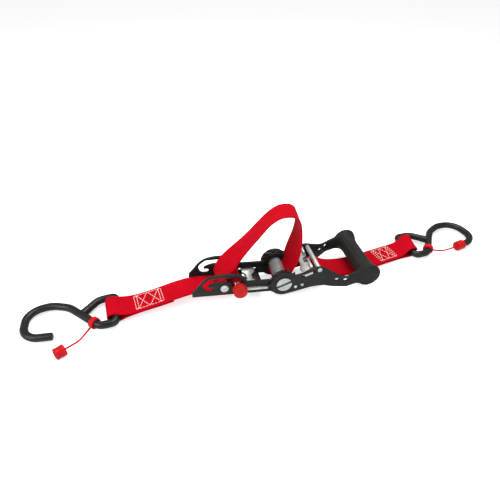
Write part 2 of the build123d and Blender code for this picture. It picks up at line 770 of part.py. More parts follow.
def keeper_ring(plane, side):
    """Ring of the keeper, threaded on the hook's neck."""
    spot = plane.from_local_coords((ring_spot[0], side * ring_spot[1], 0))
    start = plane.from_local_coords((0, 0, 0))
    ahead = plane.from_local_coords((neck_dir[0], side * neck_dir[1], 0))
    with BuildPart() as made:
        with BuildSketch(Plane(origin=spot, z_dir=ahead - start)):
            Circle(ring_outer)
            Circle(wire_radius + running_gap, mode=Mode.SUBTRACT)
        extrude(amount=ring_width / 2, both=True)
    return made


def tip_cap(origin, inward):
    """Blind cap; origin is the middle of its closed end and inward points at its mouth."""
    with BuildPart() as made:
        with BuildSketch(Plane(origin=origin, z_dir=inward)):
            Circle(cap_bore_radius + cap_wall)
        extrude(amount=cap_length)
        fillet(made.edges().filter_by(GeomType.CIRCLE).sort_by_distance(origin)[0], 1.2)
        with BuildSketch(Plane(origin=Vector(origin) + Vector(inward) * cap_length, z_dir=inward)):
            Circle(cap_bore_radius)
        extrude(amount=-cap_bore_depth, mode=Mode.SUBTRACT)
    return made


keep(keeper_ring(left_plane, -1), "left_keeper_ring")
keep(keeper_ring(right_plane, 1), "right_keeper_ring")

# the right cap sits on its hook's tip
cap_lid = cap_length - cap_bore_depth
cap_end_local = (hook_tip[0] + tip_dir[0] * cap_lid, hook_tip[1] + tip_dir[1] * cap_lid, 0)
right_cap_end = right_plane.from_local_coords(cap_end_local)
right_cap_in = right_plane.from_local_coords((0, 0, 0)) - right_plane.from_local_coords(
    (tip_dir[0], tip_dir[1], 0)
)
keep(tip_cap(right_cap_end, right_cap_in), "right_cap")

# the left cap hangs off its tip and lies on the ground
cap_outer = cap_bore_radius + cap_wall
left_cap_end = Vector(left_eye[0] - 43.6, left_eye[1] - 41.2, cap_outer)
left_cap_in = Vector(-0.86, -0.51, 0).normalized()
keep(tip_cap(left_cap_end, left_cap_in), "left_cap")


def tether(points, name):
    """Round tether along a route whose arcs are as large as its runs allow."""
    route = [Vector(*p) for p in points]
    radii = []
    for before, here, after in zip(route, route[1:], route[2:]):
        run_in, run_out = here - before, after - here
        turn = radians(run_in.get_angle(run_out))
        radii.append(0.45 * min(run_in.length, run_out.length) / tan(turn / 2))
    with BuildPart() as made:
        with BuildLine() as line:
            FilletPolyline(*route, radius=radii)
        with BuildSketch(Plane(origin=line.line @ 0, z_dir=line.line % 0)):
            Circle(tether_radius)
        sweep()
    ideal = line.wire().length * pi * tether_radius**2
    print(name, "radii", [round(r, 1) for r in radii], "length", round(line.wire().length, 1),
          "volume ratio", round(made.part.volume / ideal, 4))
    keep(made, name)


neck_out = (neck_dir[1], -neck_dir[0])


def beside_ring(plane, side, away, drop):
    """Point `away` from the ring's middle, on its outer side, turned down by `drop` degrees."""
    flat = away * cos(radians(drop))
    x = ring_spot[0] + neck_out[0] * flat
    y = ring_spot[1] + neck_out[1] * flat
    return plane.from_local_coords((x, side * y, -away * sin(radians(drop))))


left_start = beside_ring(left_plane, -1, ring_outer, 20.0)
tether(
    [
        left_start, beside_ring(left_plane, -1, ring_outer + 6.4, 20.0),
        (left_eye[0] - 32.8, left_eye[1] - 30.3, 2.0), left_cap_end - left_cap_in * 7.0,
        left_cap_end,
    ],
    "left_tether",
)
right_start = beside_ring(right_plane, 1, ring_outer, 0)
tether(
    [
        right_start, beside_ring(right_plane, 1, ring_outer + 8.0, 0),
        right_cap_end - right_cap_in * 8.0, right_cap_end,
    ],
    "right_tether",
)

# ---------------------------------------------------------------- numbers that the record uses
for label, spot in {
    "spool axis": (spool_x, mid_y, spool_z),
    "slot arc centre": side_plane(frame_tip, 0, arc_u, arc_v).origin,
    "left ring": left_plane.from_local_coords((ring_spot[0], -ring_spot[1], 0)),
    "left ring axis": left_plane.from_local_coords((neck_dir[0], -neck_dir[1], 0)) - left_plane.origin,
    "right cap in": right_cap_in,
    "left cap end": left_cap_end,
    "lock pawl run": side_plane(frame_tip).x_dir,
    "drive pawl run": side_plane(gap_angle).x_dir,
}.items():
    print(label, [round(c, 4) for c in tuple(spot)])
print("left start", left_start, "right start", right_start, "right cap end", right_cap_end)
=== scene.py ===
# %% [markdown]
# # A webbing ratchet tie-down
# A ratchet in the middle pulls two short straps together. Each strap ends in an S hook of
# dipped wire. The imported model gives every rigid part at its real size, in metres, so this
# script adds only what a drawing office leaves out: cloth, thread, rubber, rolled edges,
# coiled springs and the finish of every surface.

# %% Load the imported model
import json
from math import cos, hypot, pi, radians, sin, sqrt, tan

import bmesh
import bpy
from mathutils import Matrix, Vector


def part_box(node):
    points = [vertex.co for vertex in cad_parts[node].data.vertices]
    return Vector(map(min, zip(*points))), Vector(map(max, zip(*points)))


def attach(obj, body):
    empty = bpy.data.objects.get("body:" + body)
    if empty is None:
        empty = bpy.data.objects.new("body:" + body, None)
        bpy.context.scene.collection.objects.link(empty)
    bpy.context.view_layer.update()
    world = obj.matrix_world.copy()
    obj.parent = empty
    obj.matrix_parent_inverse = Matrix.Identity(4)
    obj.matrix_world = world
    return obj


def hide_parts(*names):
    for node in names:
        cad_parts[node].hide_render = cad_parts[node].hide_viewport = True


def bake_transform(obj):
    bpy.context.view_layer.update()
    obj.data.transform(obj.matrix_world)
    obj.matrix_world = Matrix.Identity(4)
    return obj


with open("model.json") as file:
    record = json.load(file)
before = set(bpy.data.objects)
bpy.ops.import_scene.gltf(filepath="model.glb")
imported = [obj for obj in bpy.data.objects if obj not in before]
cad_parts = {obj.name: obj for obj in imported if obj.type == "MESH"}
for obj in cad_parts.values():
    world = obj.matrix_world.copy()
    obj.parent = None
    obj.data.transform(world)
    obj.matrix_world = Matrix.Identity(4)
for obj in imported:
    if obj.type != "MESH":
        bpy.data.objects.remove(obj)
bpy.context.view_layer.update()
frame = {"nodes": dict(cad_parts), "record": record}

# %% [markdown]
# ## Light, floor and camera
# Black powder coat shows its shape only by what it reflects, so the lamps are large soft
# boxes: one over the top, one at the left and a weak one in front. The floor is near white
# and keeps the shadow under the straps.

# %% Camera
MM = 0.001
camera_data = bpy.data.cameras.new("camera")
camera_data.lens = 32.4
camera_data.sensor_width = 36.0
camera_data.clip_start = 0.01
camera = bpy.data.objects.new("camera", camera_data)
camera.location = (-0.10617, -0.35307, 0.31371)
camera.rotation_euler = (radians(53.0), 0.0, radians(-13.0))
bpy.context.scene.collection.objects.link(camera)
bpy.context.scene.camera = camera
print("camera looks down by 37 degrees")

# %% World and lamps
world = bpy.data.worlds.new("studio")
bpy.context.scene.world = world
world.use_nodes = True
sky = world.node_tree
sky_light = sky.nodes["Background"]
sky_light.inputs["Color"].default_value = (1.0, 1.0, 1.0, 1.0)
sky_light.inputs["Strength"].default_value = 0.36
sky_white = sky.nodes.new("ShaderNodeBackground")
sky_white.inputs["Strength"].default_value = 1.0
sky_path = sky.nodes.new("ShaderNodeLightPath")
sky_mix = sky.nodes.new("ShaderNodeMixShader")
sky.links.new(sky_path.outputs["Is Camera Ray"], sky_mix.inputs[0])
sky.links.new(sky_light.outputs[0], sky_mix.inputs[1])
sky.links.new(sky_white.outputs[0], sky_mix.inputs[2])
sky.links.new(sky_mix.outputs[0], sky.nodes["World Output"].inputs["Surface"])
bpy.context.scene.view_settings.view_transform = "Standard"


def soft_box(name, place, aim, size, watts):
    """A square lamp that points from its place at its aim."""
    lamp_data = bpy.data.lights.new(name, "AREA")
    lamp_data.size = size
    lamp_data.energy = watts
    lamp = bpy.data.objects.new(name, lamp_data)
    lamp.location = place
    lamp.rotation_euler = (Vector(aim) - Vector(place)).to_track_quat("-Z", "Y").to_euler()
    bpy.context.scene.collection.objects.link(lamp)


soft_box("top_light", (0.10, 0.15, 0.75), (0, 0, 0), 0.6, 6.2)
soft_box("left_light", (-0.65, -0.25, 0.45), (0, 0, 0.02), 0.5, 3.8)
soft_box("front_light", (0.25, -0.75, 0.30), (0, 0, 0.02), 0.5, 1.6)

# %% Floor
floor_mesh = bpy.data.meshes.new("floor")
floor_shape = bmesh.new()
bmesh.ops.create_grid(floor_shape, x_segments=1, y_segments=1, size=3.0)
floor_shape.to_mesh(floor_mesh)
floor_shape.free()
floor = bpy.data.objects.new("floor", floor_mesh)
floor.location.z = -0.0004
bpy.context.scene.collection.objects.link(floor)

paper = bpy.data.materials.new("white_paper")
paper.use_nodes = True
paper_nodes = paper.node_tree
paper_face = paper_nodes.nodes["Principled BSDF"]
paper_face.inputs["Base Color"].default_value = (0.86, 0.86, 0.86, 1.0)
paper_face.inputs["Roughness"].default_value = 0.9
paper_glow = paper_nodes.nodes.new("ShaderNodeEmission")
paper_glow.inputs["Strength"].default_value = 0.62
paper_sum = paper_nodes.nodes.new("ShaderNodeAddShader")
paper_path = paper_nodes.nodes.new("ShaderNodeLightPath")
paper_mix = paper_nodes.nodes.new("ShaderNodeMixShader")
paper_out = paper_nodes.nodes["Material Output"]
paper_nodes.links.new(paper_face.outputs[0], paper_sum.inputs[0])
paper_nodes.links.new(paper_glow.outputs[0], paper_sum.inputs[1])
paper_nodes.links.new(paper_path.outputs["Is Camera Ray"], paper_mix.inputs[0])
paper_nodes.links.new(paper_face.outputs[0], paper_mix.inputs[1])
paper_nodes.links.new(paper_sum.outputs[0], paper_mix.inputs[2])
paper_nodes.links.new(paper_mix.outputs[0], paper_out.inputs["Surface"])
floor.data.materials.append(paper)
print("floor", floor.dimensions[:2])

# %% [markdown]
# ## Finishes
# Every finish is a small graph of nodes. A noise field in the object's own space varies the
# roughness and lifts the surface a little, because no real coat is even. The numbers that
# stay the same all over sit on the shader itself.

# %% Node helpers


def new_finish(name, colour, roughness, metallic=0.0):
    """A material with its shader, and the helpers that add nodes to it."""
    made = bpy.data.materials.new(name)
    made.use_nodes = True
    made.diffuse_color = (*colour, 1.0)
    shader = made.node_tree.nodes["Principled BSDF"]
    shader.inputs["Base Color"].default_value = (*colour, 1.0)
    shader.inputs["Roughness"].default_value = roughness
    shader.inputs["Metallic"].default_value = metallic
    return made, shader


def add_node(made, kind, **settings):
    node = made.node_tree.nodes.new(kind)
    for key, value in settings.items():
        if key in node.inputs:
            node.inputs[key].default_value = value
        else:
            setattr(node, key, value)
    return node


def join(made, source, target):
    made.node_tree.links.new(source, target)


def maths(made, operation, first, second=None, third=None):
    """One Math node; each operand is a number or another node's output."""
    node = made.node_tree.nodes.new("ShaderNodeMath")
    node.operation = operation
    for index, value in enumerate((first, second, third)):
        if value is None:
            continue
        if isinstance(value, (int, float)):
            node.inputs[index].default_value = value
        else:
            join(made, value, node.inputs[index])
    return node.outputs[0]


def remap(made, value, low, high, to_low, to_high):
    node = add_node(made, "ShaderNodeMapRange")
    join(made, value, node.inputs["Value"])
    node.inputs["From Min"].default_value = low
    node.inputs["From Max"].default_value = high
    node.inputs["To Min"].default_value = to_low
    node.inputs["To Max"].default_value = to_high
    return node.outputs["Result"]


def noise(made, scale, detail=3.0, stretch=(1.0, 1.0, 1.0)):
    """Noise in the object's space; scale is in waves per metre."""
    place = add_node(made, "ShaderNodeTexCoord")
    mapping = add_node(made, "ShaderNodeMapping")
    mapping.inputs["Scale"].default_value = stretch
    field = add_node(made, "ShaderNodeTexNoise")
    field.inputs["Scale"].default_value = scale
    field.inputs["Detail"].default_value = detail
    join(made, place.outputs["Object"], mapping.inputs["Vector"])
    join(made, mapping.outputs["Vector"], field.inputs["Vector"])
    return field.outputs["Fac"]


def raise_surface(made, shader, height, depth):
    """Bump from a height field; depth is in metres."""
    bump = add_node(made, "ShaderNodeBump")
    bump.inputs["Strength"].default_value = 1.0
    bump.inputs["Distance"].default_value = depth
    join(made, height, bump.inputs["Height"])
    join(made, bump.outputs["Normal"], shader.inputs["Normal"])


def mix_colour(made, share, first, second):
    node = made.node_tree.nodes.new("ShaderNodeMix")
    node.data_type = "RGBA"
    if isinstance(share, (int, float)):
        node.inputs[0].default_value = share
    else:
        join(made, share, node.inputs[0])
    for socket, value in ((node.inputs[6], first), (node.inputs[7], second)):
        if isinstance(value, tuple):
            socket.default_value = (*value, 1.0)
        else:
            join(made, value, socket)
    return node.outputs[2]


def edge_share(made, radius):
    """1 on sharp edges and 0 on flats: how far a rounded normal leans from the true one."""
    bevel = add_node(made, "ShaderNodeBevel", samples=4)
    bevel.inputs["Radius"].default_value = radius
    flat = add_node(made, "ShaderNodeNewGeometry")
    dot = made.node_tree.nodes.new("ShaderNodeVectorMath")
    dot.operation = "DOT_PRODUCT"
    join(made, bevel.outputs["Normal"], dot.inputs[0])
    join(made, flat.outputs["Normal"], dot.inputs[1])
    return remap(made, dot.outputs["Value"], 0.995, 0.85, 0.0, 1.0)


print("node helpers", [helper.__name__ for helper in (maths, remap, noise, raise_surface, mix_colour, edge_share)])

# %% [markdown]
# ### Powder coat, zinc plate and spring wire
# Powder coat is black with a fine orange-peel skin. Its corners are painted lighter in patches, partly as coat worn
# thin and grey and partly as a painted highlight.
# Zinc plate is bright and slightly uneven, with faint drag lines from rolling.

# %% Metal finishes
black_coat, shader = new_finish("black_powder_coat", (0.010, 0.012, 0.011), 0.4)
shader.inputs["Specular IOR Level"].default_value = 0.22
peel = noise(black_coat, 900.0, 2.0)
patches = noise(black_coat, 60.0, 3.0)
# corners painted lighter in patches: partly coat worn thin to grey, partly a painted highlight along the edges
edge_wear_and_highlight_patches = remap(black_coat, patches, 0.35, 0.7, 0.1, 0.8)
worn_and_highlit_edges = maths(black_coat, "MULTIPLY", edge_share(black_coat, 0.0006), edge_wear_and_highlight_patches)
coat_colour = mix_colour(black_coat, worn_and_highlit_edges, (0.010, 0.012, 0.011), (0.075, 0.08, 0.07))
join(black_coat, coat_colour, shader.inputs["Base Color"])
join(black_coat, remap(black_coat, patches, 0.2, 0.8, 0.32, 0.48), shader.inputs["Roughness"])
raise_surface(black_coat, shader, peel, 0.00006)

zinc, shader = new_finish("zinc_plate", (0.60, 0.63, 0.61), 0.3, 0.6)
drag = noise(zinc, 700.0, 3.0, (0.12, 1.0, 1.0))
cloud = noise(zinc, 120.0, 4.0)
tone = mix_colour(zinc, remap(zinc, cloud, 0.3, 0.7, 0.0, 1.0), (0.36, 0.39, 0.37), (0.66, 0.69, 0.67))
join(zinc, tone, shader.inputs["Base Color"])
join(zinc, remap(zinc, drag, 0.25, 0.75, 0.28, 0.50), shader.inputs["Roughness"])
raise_surface(zinc, shader, drag, 0.00003)

dark_steel, shader = new_finish("blackened_steel", (0.06, 0.058, 0.05), 0.35, 0.8)
burnt = noise(dark_steel, 160.0, 4.0)
bare = remap(dark_steel, burnt, 0.35, 0.7, 0.2, 1.0)
rubbed = maths(dark_steel, "MULTIPLY", edge_share(dark_steel, 0.0005), bare)
burnt_colour = mix_colour(dark_steel, rubbed, (0.05, 0.046, 0.038), (0.34, 0.33, 0.30))
join(dark_steel, burnt_colour, shader.inputs["Base Color"])
join(dark_steel, remap(dark_steel, burnt, 0.3, 0.7, 0.28, 0.46), shader.inputs["Roughness"])
raise_surface(dark_steel, shader, noise(dark_steel, 1400.0), 0.00003)

spring_wire, shader = new_finish("spring_wire", (0.42, 0.42, 0.43), 0.3, 1.0)
join(spring_wire, remap(spring_wire, noise(spring_wire, 2500.0), 0.3, 0.7, 0.22, 0.4), shader.inputs["Roughness"])
raise_surface(spring_wire, shader, noise(spring_wire, 3000.0), 0.00002)
print("metal finishes", black_coat.name, zinc.name, spring_wire.name)

# %% [markdown]
# ### Plastics and rubber
# The knobs are moulded orange-red plastic. The caps, rings and tethers are soft vinyl that
# lets a little light in. The hooks are dipped, so their coat has slow thick and thin places.
# The grip is matt rubber with a fine cast grain.

# %% Plastic and rubber finishes


def moulded(name, colour, roughness, grain_scale, grain_depth, soft=0.0):
    made, face = new_finish(name, colour, roughness)
    cloudy = noise(made, 90.0, 4.0)
    dark = tuple(c * 0.72 for c in colour)
    light = tuple(min(1.0, c * 1.12) for c in colour)
    join(made, mix_colour(made, remap(made, cloudy, 0.3, 0.7, 0.0, 1.0), dark, light), face.inputs["Base Color"])
    sheen = remap(made, noise(made, 400.0), 0.3, 0.7, roughness - 0.07, roughness + 0.08)
    join(made, sheen, face.inputs["Roughness"])
    face.inputs["Subsurface Weight"].default_value = soft
    face.inputs["Subsurface Scale"].default_value = 0.0012
    raise_surface(made, face, noise(made, grain_scale, 2.0), grain_depth)
    return made


red_knob = moulded("red_plastic", (0.52, 0.009, 0.009), 0.42, 700.0, 0.00012)
red_vinyl = moulded("red_vinyl", (0.56, 0.003, 0.010), 0.40, 260.0, 0.00010, 0.04)
black_vinyl = moulded("black_dipped_vinyl", (0.011, 0.012, 0.011), 0.34, 220.0, 0.00022)
grip_rubber = moulded("grip_rubber", (0.014, 0.015, 0.012), 0.60, 2200.0, 0.00008)
for coated, gloss in ((red_knob, 0.16), (red_vinyl, 0.16), (black_vinyl, 0.28), (grip_rubber, 0.18)):
    coated.node_tree.nodes["Principled BSDF"].inputs["Specular IOR Level"].default_value = gloss
print("mouldings", red_knob.name, red_vinyl.name, black_vinyl.name, grip_rubber.name)

# %% [markdown]
# ### Webbing and thread
# Tie-down webbing is a heavy weave. Seen close, it is rows of small slanted yarns that
# change their slant from row to row, like herringbone. Each ribbon below carries a map of
# its own width and length in metres, so the rows run true round every bend.

# %% Webbing finish
ROW = 1.45 * MM       # width of one woven row
YARN = 0.95 * MM      # length of one yarn along the strap


def woven(name, colour, shade):
    made, face = new_finish(name, colour, 0.62)
    face.inputs["Sheen Weight"].default_value = 0.01
    face.inputs["Sheen Roughness"].default_value = 0.45
    face.inputs["Specular IOR Level"].default_value = 0.03
    place = add_node(made, "ShaderNodeUVMap", uv_map="cloth")
    split = add_node(made, "ShaderNodeSeparateXYZ")
    join(made, place.outputs["UV"], split.inputs[0])
    across, along = split.outputs[0], split.outputs[1]
    # a zigzag of the rows slants the yarns left and right in turn
    slant = maths(made, "PINGPONG", across, ROW)
    slanted = maths(made, "ADD", along, slant)
    yarn = maths(made, "SINE", maths(made, "MULTIPLY", slanted, 2 * pi / YARN))
    rib = maths(made, "ABSOLUTE", maths(made, "SINE", maths(made, "MULTIPLY", across, pi / ROW)))
    height = maths(made, "MULTIPLY", maths(made, "MULTIPLY_ADD", yarn, 0.5, 0.5), rib)
    # the hollows between yarns are painted darker: a painted shade in the weave's grooves
    groove = remap(made, height, 0.0, 0.55, 1.0, 0.0)
    dull = mix_colour(made, remap(made, noise(made, 45.0, 4.0), 0.3, 0.7, 0.0, 1.0), colour, shade)
    groove_shade = tuple(c * 0.45 for c in colour)
    join(made, mix_colour(made, maths(made, "MULTIPLY", groove, 0.6), dull, groove_shade), face.inputs["Base Color"])
    join(made, remap(made, height, 0.0, 1.0, 0.75, 0.55), face.inputs["Roughness"])
    raise_surface(made, face, height, 0.00022)
    return made


webbing = woven("red_webbing", (0.64, 0.001, 0.014), (0.52, 0.001, 0.009))

thread, shader = new_finish("white_thread", (0.85, 0.62, 0.56), 0.6)
twist = noise(thread, 2600.0, 2.0)
join(thread, mix_colour(thread, twist, (0.72, 0.42, 0.38), (0.90, 0.76, 0.70)), shader.inputs["Base Color"])
raise_surface(thread, shader, twist, 0.00012)
print("cloth finishes", webbing.name, thread.name)

# %% [markdown]
# ## Where things are
# The ratchet's side view is drawn from the spool's axis. The frame leans down to the right
# by 5.3 degrees and the handle up by 3, so two small functions turn a side drawing in
# millimetres into a place in the room.

# %% Ratchet coordinates
SPOOL = Vector((3.0, -10.0, 16.3))
FRAME_TIP = -5.3
HANDLE_TIP = 3.0
SPOOL_TIP = 20.0
WEB_WIDTH = 25.4
WEB_THICK = 1.7


def turned(u, v, tip):
    """A side drawing's point as millimetres from the spool's axis, level with the ground."""
    c, s = cos(radians(tip)), sin(radians(tip))
    return u * c - v * s, u * s + v * c


def spot(u, v, tip=0.0, across=0.0):
    """Place in millimetres of a side drawing's point, `across` towards the rear."""
    x, z = turned(u, v, tip)
    return Vector((SPOOL.x + x, SPOOL.y + across, SPOOL.z + z))


def cut_corners(route, rounds=4):
    """Corner cutting: each round replaces a corner by two points, a quarter in from each side."""
    for _ in range(rounds):
        cut = [route[0]]
        for here, ahead in zip(route, route[1:]):
            cut.append(here.lerp(ahead, 0.25))
            cut.append(here.lerp(ahead, 0.75))
        route = cut + [route[-1]]
    return route


def even_steps(route, step):
    """Points a fixed step apart along a route."""
    lengths = [0.0]
    for here, ahead in zip(route, route[1:]):
        lengths.append(lengths[-1] + (ahead.to_3d() - here.to_3d()).length)
    count = max(2, round(lengths[-1] / step))
    evened = []
    index = 0
    for number in range(count + 1):
        goal = lengths[-1] * number / count
        while index < len(lengths) - 2 and lengths[index + 1] < goal:
            index += 1
        span = lengths[index + 1] - lengths[index]
        share = 0.0 if span == 0 else (goal - lengths[index]) / span
        evened.append(route[index].lerp(route[index + 1], share))
    return evened


def rounded_route(corners, radii):
    """A bent wire's line: straight runs joined by arcs of the given radii."""
    line = [corners[0]]
    for before, corner, after, radius in zip(corners, corners[1:], corners[2:], radii):
        inward = (before - corner).normalized()
        onward = (after - corner).normalized()
        half = inward.angle(onward) / 2
        centre = corner + (inward + onward).normalized() * (radius / sin(half))
        start = corner + inward * (radius / tan(half)) - centre
        end = corner + onward * (radius / tan(half)) - centre
        for step in range(13):
            line.append(centre + start.normalized().slerp(end.normalized(), step / 12) * radius)
    line.append(corners[-1])
    return line


def rider(name, mesh, finish, body, smooth=True):
    """Turns a mesh in millimetres into a piece that rides on a body."""
    if isinstance(mesh, bmesh.types.BMesh):
        shape = mesh
        mesh = bpy.data.meshes.new(name)
        bmesh.ops.recalc_face_normals(shape, faces=shape.faces)
        shape.to_mesh(mesh)
        shape.free()
    mesh.transform(Matrix.Scale(MM, 4))
    for face in mesh.polygons:
        face.use_smooth = smooth
    piece = bpy.data.objects.new(name, mesh)
    bpy.context.scene.collection.objects.link(piece)
    mesh.materials.clear()
    mesh.materials.append(finish)
    if body:
        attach(piece, body)
    return piece


print("bolt stands at", [round(c, 1) for c in spot(-59.2, -3.7, FRAME_TIP)])

# %% [markdown]
# ## Webbing as a ribbon
# A strap is a flat section carried along a route. The section has rounded edges, like the
# woven selvedge of real webbing. Every point of the route may say how far the strap is
# turned about the upright, which gives the slack loop its twist.

# %% Ribbon maker
FLAT_STEPS = 12
EDGE_STEPS = 5


def ribbon_section(width, thick):
    """Points (across, up) round a flat section with half-round edges."""
    edge = thick / 2
    flat = width / 2 - edge
    section = [(-flat + 2 * flat * n / FLAT_STEPS, edge) for n in range(FLAT_STEPS)]
    section += [
        (flat + edge * sin(pi * n / EDGE_STEPS), edge * cos(pi * n / EDGE_STEPS)) for n in range(EDGE_STEPS)
    ]
    section += [(-across, -up) for across, up in section]
    return section


def ribbon(name, route, body, width=WEB_WIDTH, thick=WEB_THICK, waves=0.25, phase=0.0):
    """A strap along a route of (x, y, z, turn); turn is in degrees about the upright."""
    points = even_steps(cut_corners([Vector(p) for p in route]), 1.3)
    section = ribbon_section(width, thick)
    shape = bmesh.new()
    cloth = shape.loops.layers.uv.new("cloth")
    rings = []
    travelled = 0.0
    marks = []
    last = None
    for index, point in enumerate(points):
        here = point.to_3d()
        ahead = points[min(index + 1, len(points) - 1)].to_3d()
        behind = points[max(index - 1, 0)].to_3d()
        tangent = (ahead - behind).normalized()
        turn = radians(point.w)
        side = Vector((-sin(turn), cos(turn), 0.0))
        side = (side - tangent * side.dot(tangent)).normalized()
        up = side.cross(tangent).normalized()
        if last is not None:
            travelled += (here - last).length
        last = here
        marks.append(travelled)
        ring = []
        for across, height in section:
            # a soft strap never lies quite flat: its edges ride up and down a little
            share = across / (width / 2)
            ripple = waves * share * share * sin(travelled / 9.0 + phase + 1.5 * share)
            crown = -0.25 * waves * share * share
            ring.append(shape.verts.new(here + side * across + up * (height + ripple + crown)))
        rings.append(ring)
    count = len(section)
    for number, (first, second) in enumerate(zip(rings, rings[1:])):
        for n in range(count):
            m = (n + 1) % count
            face = shape.faces.new((first[n], first[m], second[m], second[n]))
            spots = ((n, number), (m, number), (m, number + 1), (n, number + 1))
            for loop, (place, ring_number) in zip(face.loops, spots):
                loop[cloth].uv = ((section[place][0] + width) * MM, marks[ring_number] * MM)
    for ring in (rings[0], rings[-1]):
        cap = shape.faces.new(ring)
        for loop in cap.loops:
            loop[cloth].uv = (0.0, 0.0)
    piece = rider(name, shape, webbing, body)
    print(name, "length", round(travelled, 1), "mm")
    return piece


print("points round a ribbon", len(ribbon_section(WEB_WIDTH, WEB_THICK)))

# %% [markdown]
# ## The two short straps
# Each short strap is one length of webbing. It passes round the wire of its hook and comes
# back under itself, and a sewn patch holds the two layers. The left strap is drawn into the
# frame and wound on the quick-slack bar. The right one is looped round the anchor bolt.

# %% Left strap
LEFT_EYE = Vector((-162.0, -18.0, 5.95))
EYE_RADIUS = 4.9          # middle of the cloth round the hook's wire
LAYER = 0.95              # half the distance between two layers
LOWER_LAYER = -10.55      # strap's level in the frame's side drawing
SLOT_U, SLOT_V = -63.1, -17.4   # centre of the frame's arched slots
SLOT_RADIUS = 23.7
BAR_REST = 40.2           # degrees, where the bar stands along the arch
bar_u, bar_v = SLOT_U + SLOT_RADIUS * cos(radians(BAR_REST)), SLOT_V + SLOT_RADIUS * sin(radians(BAR_REST))

at_bar = spot(bar_u - 2.4, bar_v - 4.2, FRAME_TIP)
at_dip = spot(bar_u - 6.8, LOWER_LAYER, FRAME_TIP)
at_mouth = spot(-88.0, LOWER_LAYER, FRAME_TIP)
left_square = LEFT_EYE + Vector((16.0, 0.0, 1.25))
left_swing = Vector((-120.0, -14.6, 10.0))      # where the strap swings past the frame's end
mid_y = SPOOL.y


def round_left_eye(along, height, turn=0.0):
    """A point of the cloth round the left hook's wire."""
    return (LEFT_EYE.x + along, LEFT_EYE.y, LEFT_EYE.z + height, turn)


def layer(place, side, turn):
    """A point of the upper (side 1) or lower (side -1) layer over a middle place."""
    return (place.x, place.y, place.z + side * LAYER, turn)


left_route = [
    (*at_bar, 0), (*at_dip, 0), (-60.0, mid_y, 11.6 + LAYER / 2, 0), layer(at_mouth, 1, 0),
    (-102.0, mid_y - 2.0, 12.4 + LAYER, 2), layer(left_swing, 1, 5), layer(left_square, 1, 2),
    round_left_eye(4.0, 3.2, 3), round_left_eye(0.0, EYE_RADIUS, 5), round_left_eye(-4.6, EYE_RADIUS, 6),
    round_left_eye(-8.6, 3.0, 6), round_left_eye(-8.6, -2.6, 6), round_left_eye(-4.6, -EYE_RADIUS, 6),
    round_left_eye(1.0, -EYE_RADIUS, 5), round_left_eye(7.0, -2.4, 3), layer(left_square, -1, 2),
    layer(left_swing, -1, 5), (-108.0, mid_y - 2.8, 11.6 - LAYER, 4),
]
left_strap = ribbon("left_webbing", left_route, "frame", waves=0.3)
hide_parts("left_strap")

# %% Right strap
RIGHT_EYE = Vector((162.0, 12.0, 5.95))
RIGHT_YAW = 10.0          # degrees, the right hook's run turned to the rear
ANCHOR_RADIUS = 4.15      # middle of the cloth round the anchor bolt
anchor = spot(38.0, 2.5, FRAME_TIP)
right_out = Vector((cos(radians(RIGHT_YAW)), sin(radians(RIGHT_YAW)), 0.0))
right_square = RIGHT_EYE - right_out * 16.0
right_bend = Vector((anchor.x + 16.0, mid_y, 0.0))
right_run = (right_square - right_bend).to_2d()


def on_right(share, height, turn=0.0):
    """A point of the right strap's straight run, from its bend to its square end."""
    return (right_bend.x + right_run.x * share, right_bend.y + right_run.y * share, height, turn)


def round_right_eye(along, height):
    """A point of the cloth round the right hook's wire."""
    place = RIGHT_EYE + right_out * along
    return (place.x, place.y, RIGHT_EYE.z + height, -RIGHT_YAW)


right_route = [
    on_right(0.34, 3.5 - LAYER, -12), on_right(0.16, 6.2 - LAYER, -9), (right_bend.x, mid_y, 10.0 - LAYER, -4),
    (anchor.x + 5.0, mid_y, anchor.z - 4.6, 0), (anchor.x + 1.0, mid_y, anchor.z - ANCHOR_RADIUS, 0),
    (anchor.x - 2.6, mid_y, anchor.z - ANCHOR_RADIUS, 0), (anchor.x - ANCHOR_RADIUS, mid_y, anchor.z - 2.0, 0),
    (anchor.x - ANCHOR_RADIUS, mid_y, anchor.z + 2.0, 0), (anchor.x - 2.6, mid_y, anchor.z + ANCHOR_RADIUS, 0),
    (anchor.x + 2.6, mid_y, anchor.z + ANCHOR_RADIUS, 0), (anchor.x + 7.0, mid_y, anchor.z + 1.6, 0),
    (right_bend.x, mid_y, 10.4 + LAYER, -5), on_right(0.2, 4.9 + LAYER, -11), on_right(0.45, 2.7 + LAYER, -12.5),
    on_right(0.8, 2.8 + LAYER, -12), round_right_eye(-12.5, -3.15 + LAYER), round_right_eye(-4.5, 2.6),
    round_right_eye(-0.8, EYE_RADIUS), round_right_eye(4.8, EYE_RADIUS), round_right_eye(9.0, 3.0),
    round_right_eye(9.0, -2.6), round_right_eye(4.8, -EYE_RADIUS), round_right_eye(-1.0, -EYE_RADIUS),
    round_right_eye(-12.5, -3.15 - LAYER), on_right(0.8, 2.8 - LAYER, -12), on_right(0.5, 2.8 - LAYER, -12),
]
right_strap = ribbon("right_webbing", right_route, "frame", waves=0.12, phase=1.0)
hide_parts("right_strap")

# %% [markdown]
# ## The slack loop
# The webbing leaves the bar, doubles round the cross bolt and rises into a slack loop, as a
# hand lifts it before the ratchet is wound. It comes down into the slot of the spool. The
# loop is three ribbons: a short one at the bar, the free loop, and a short one at the spool;
# the two short ones ride on no body.

# %% Slack loop
BAR_WRAP = 3.1            # middle of the cloth round the bar


def loop_spot(x, z, turn=0.0, across=0.0):
    """A point of the loop, from the spool's axis and level with the ground."""
    return (SPOOL.x + x, SPOOL.y + across, SPOOL.z + z, turn)


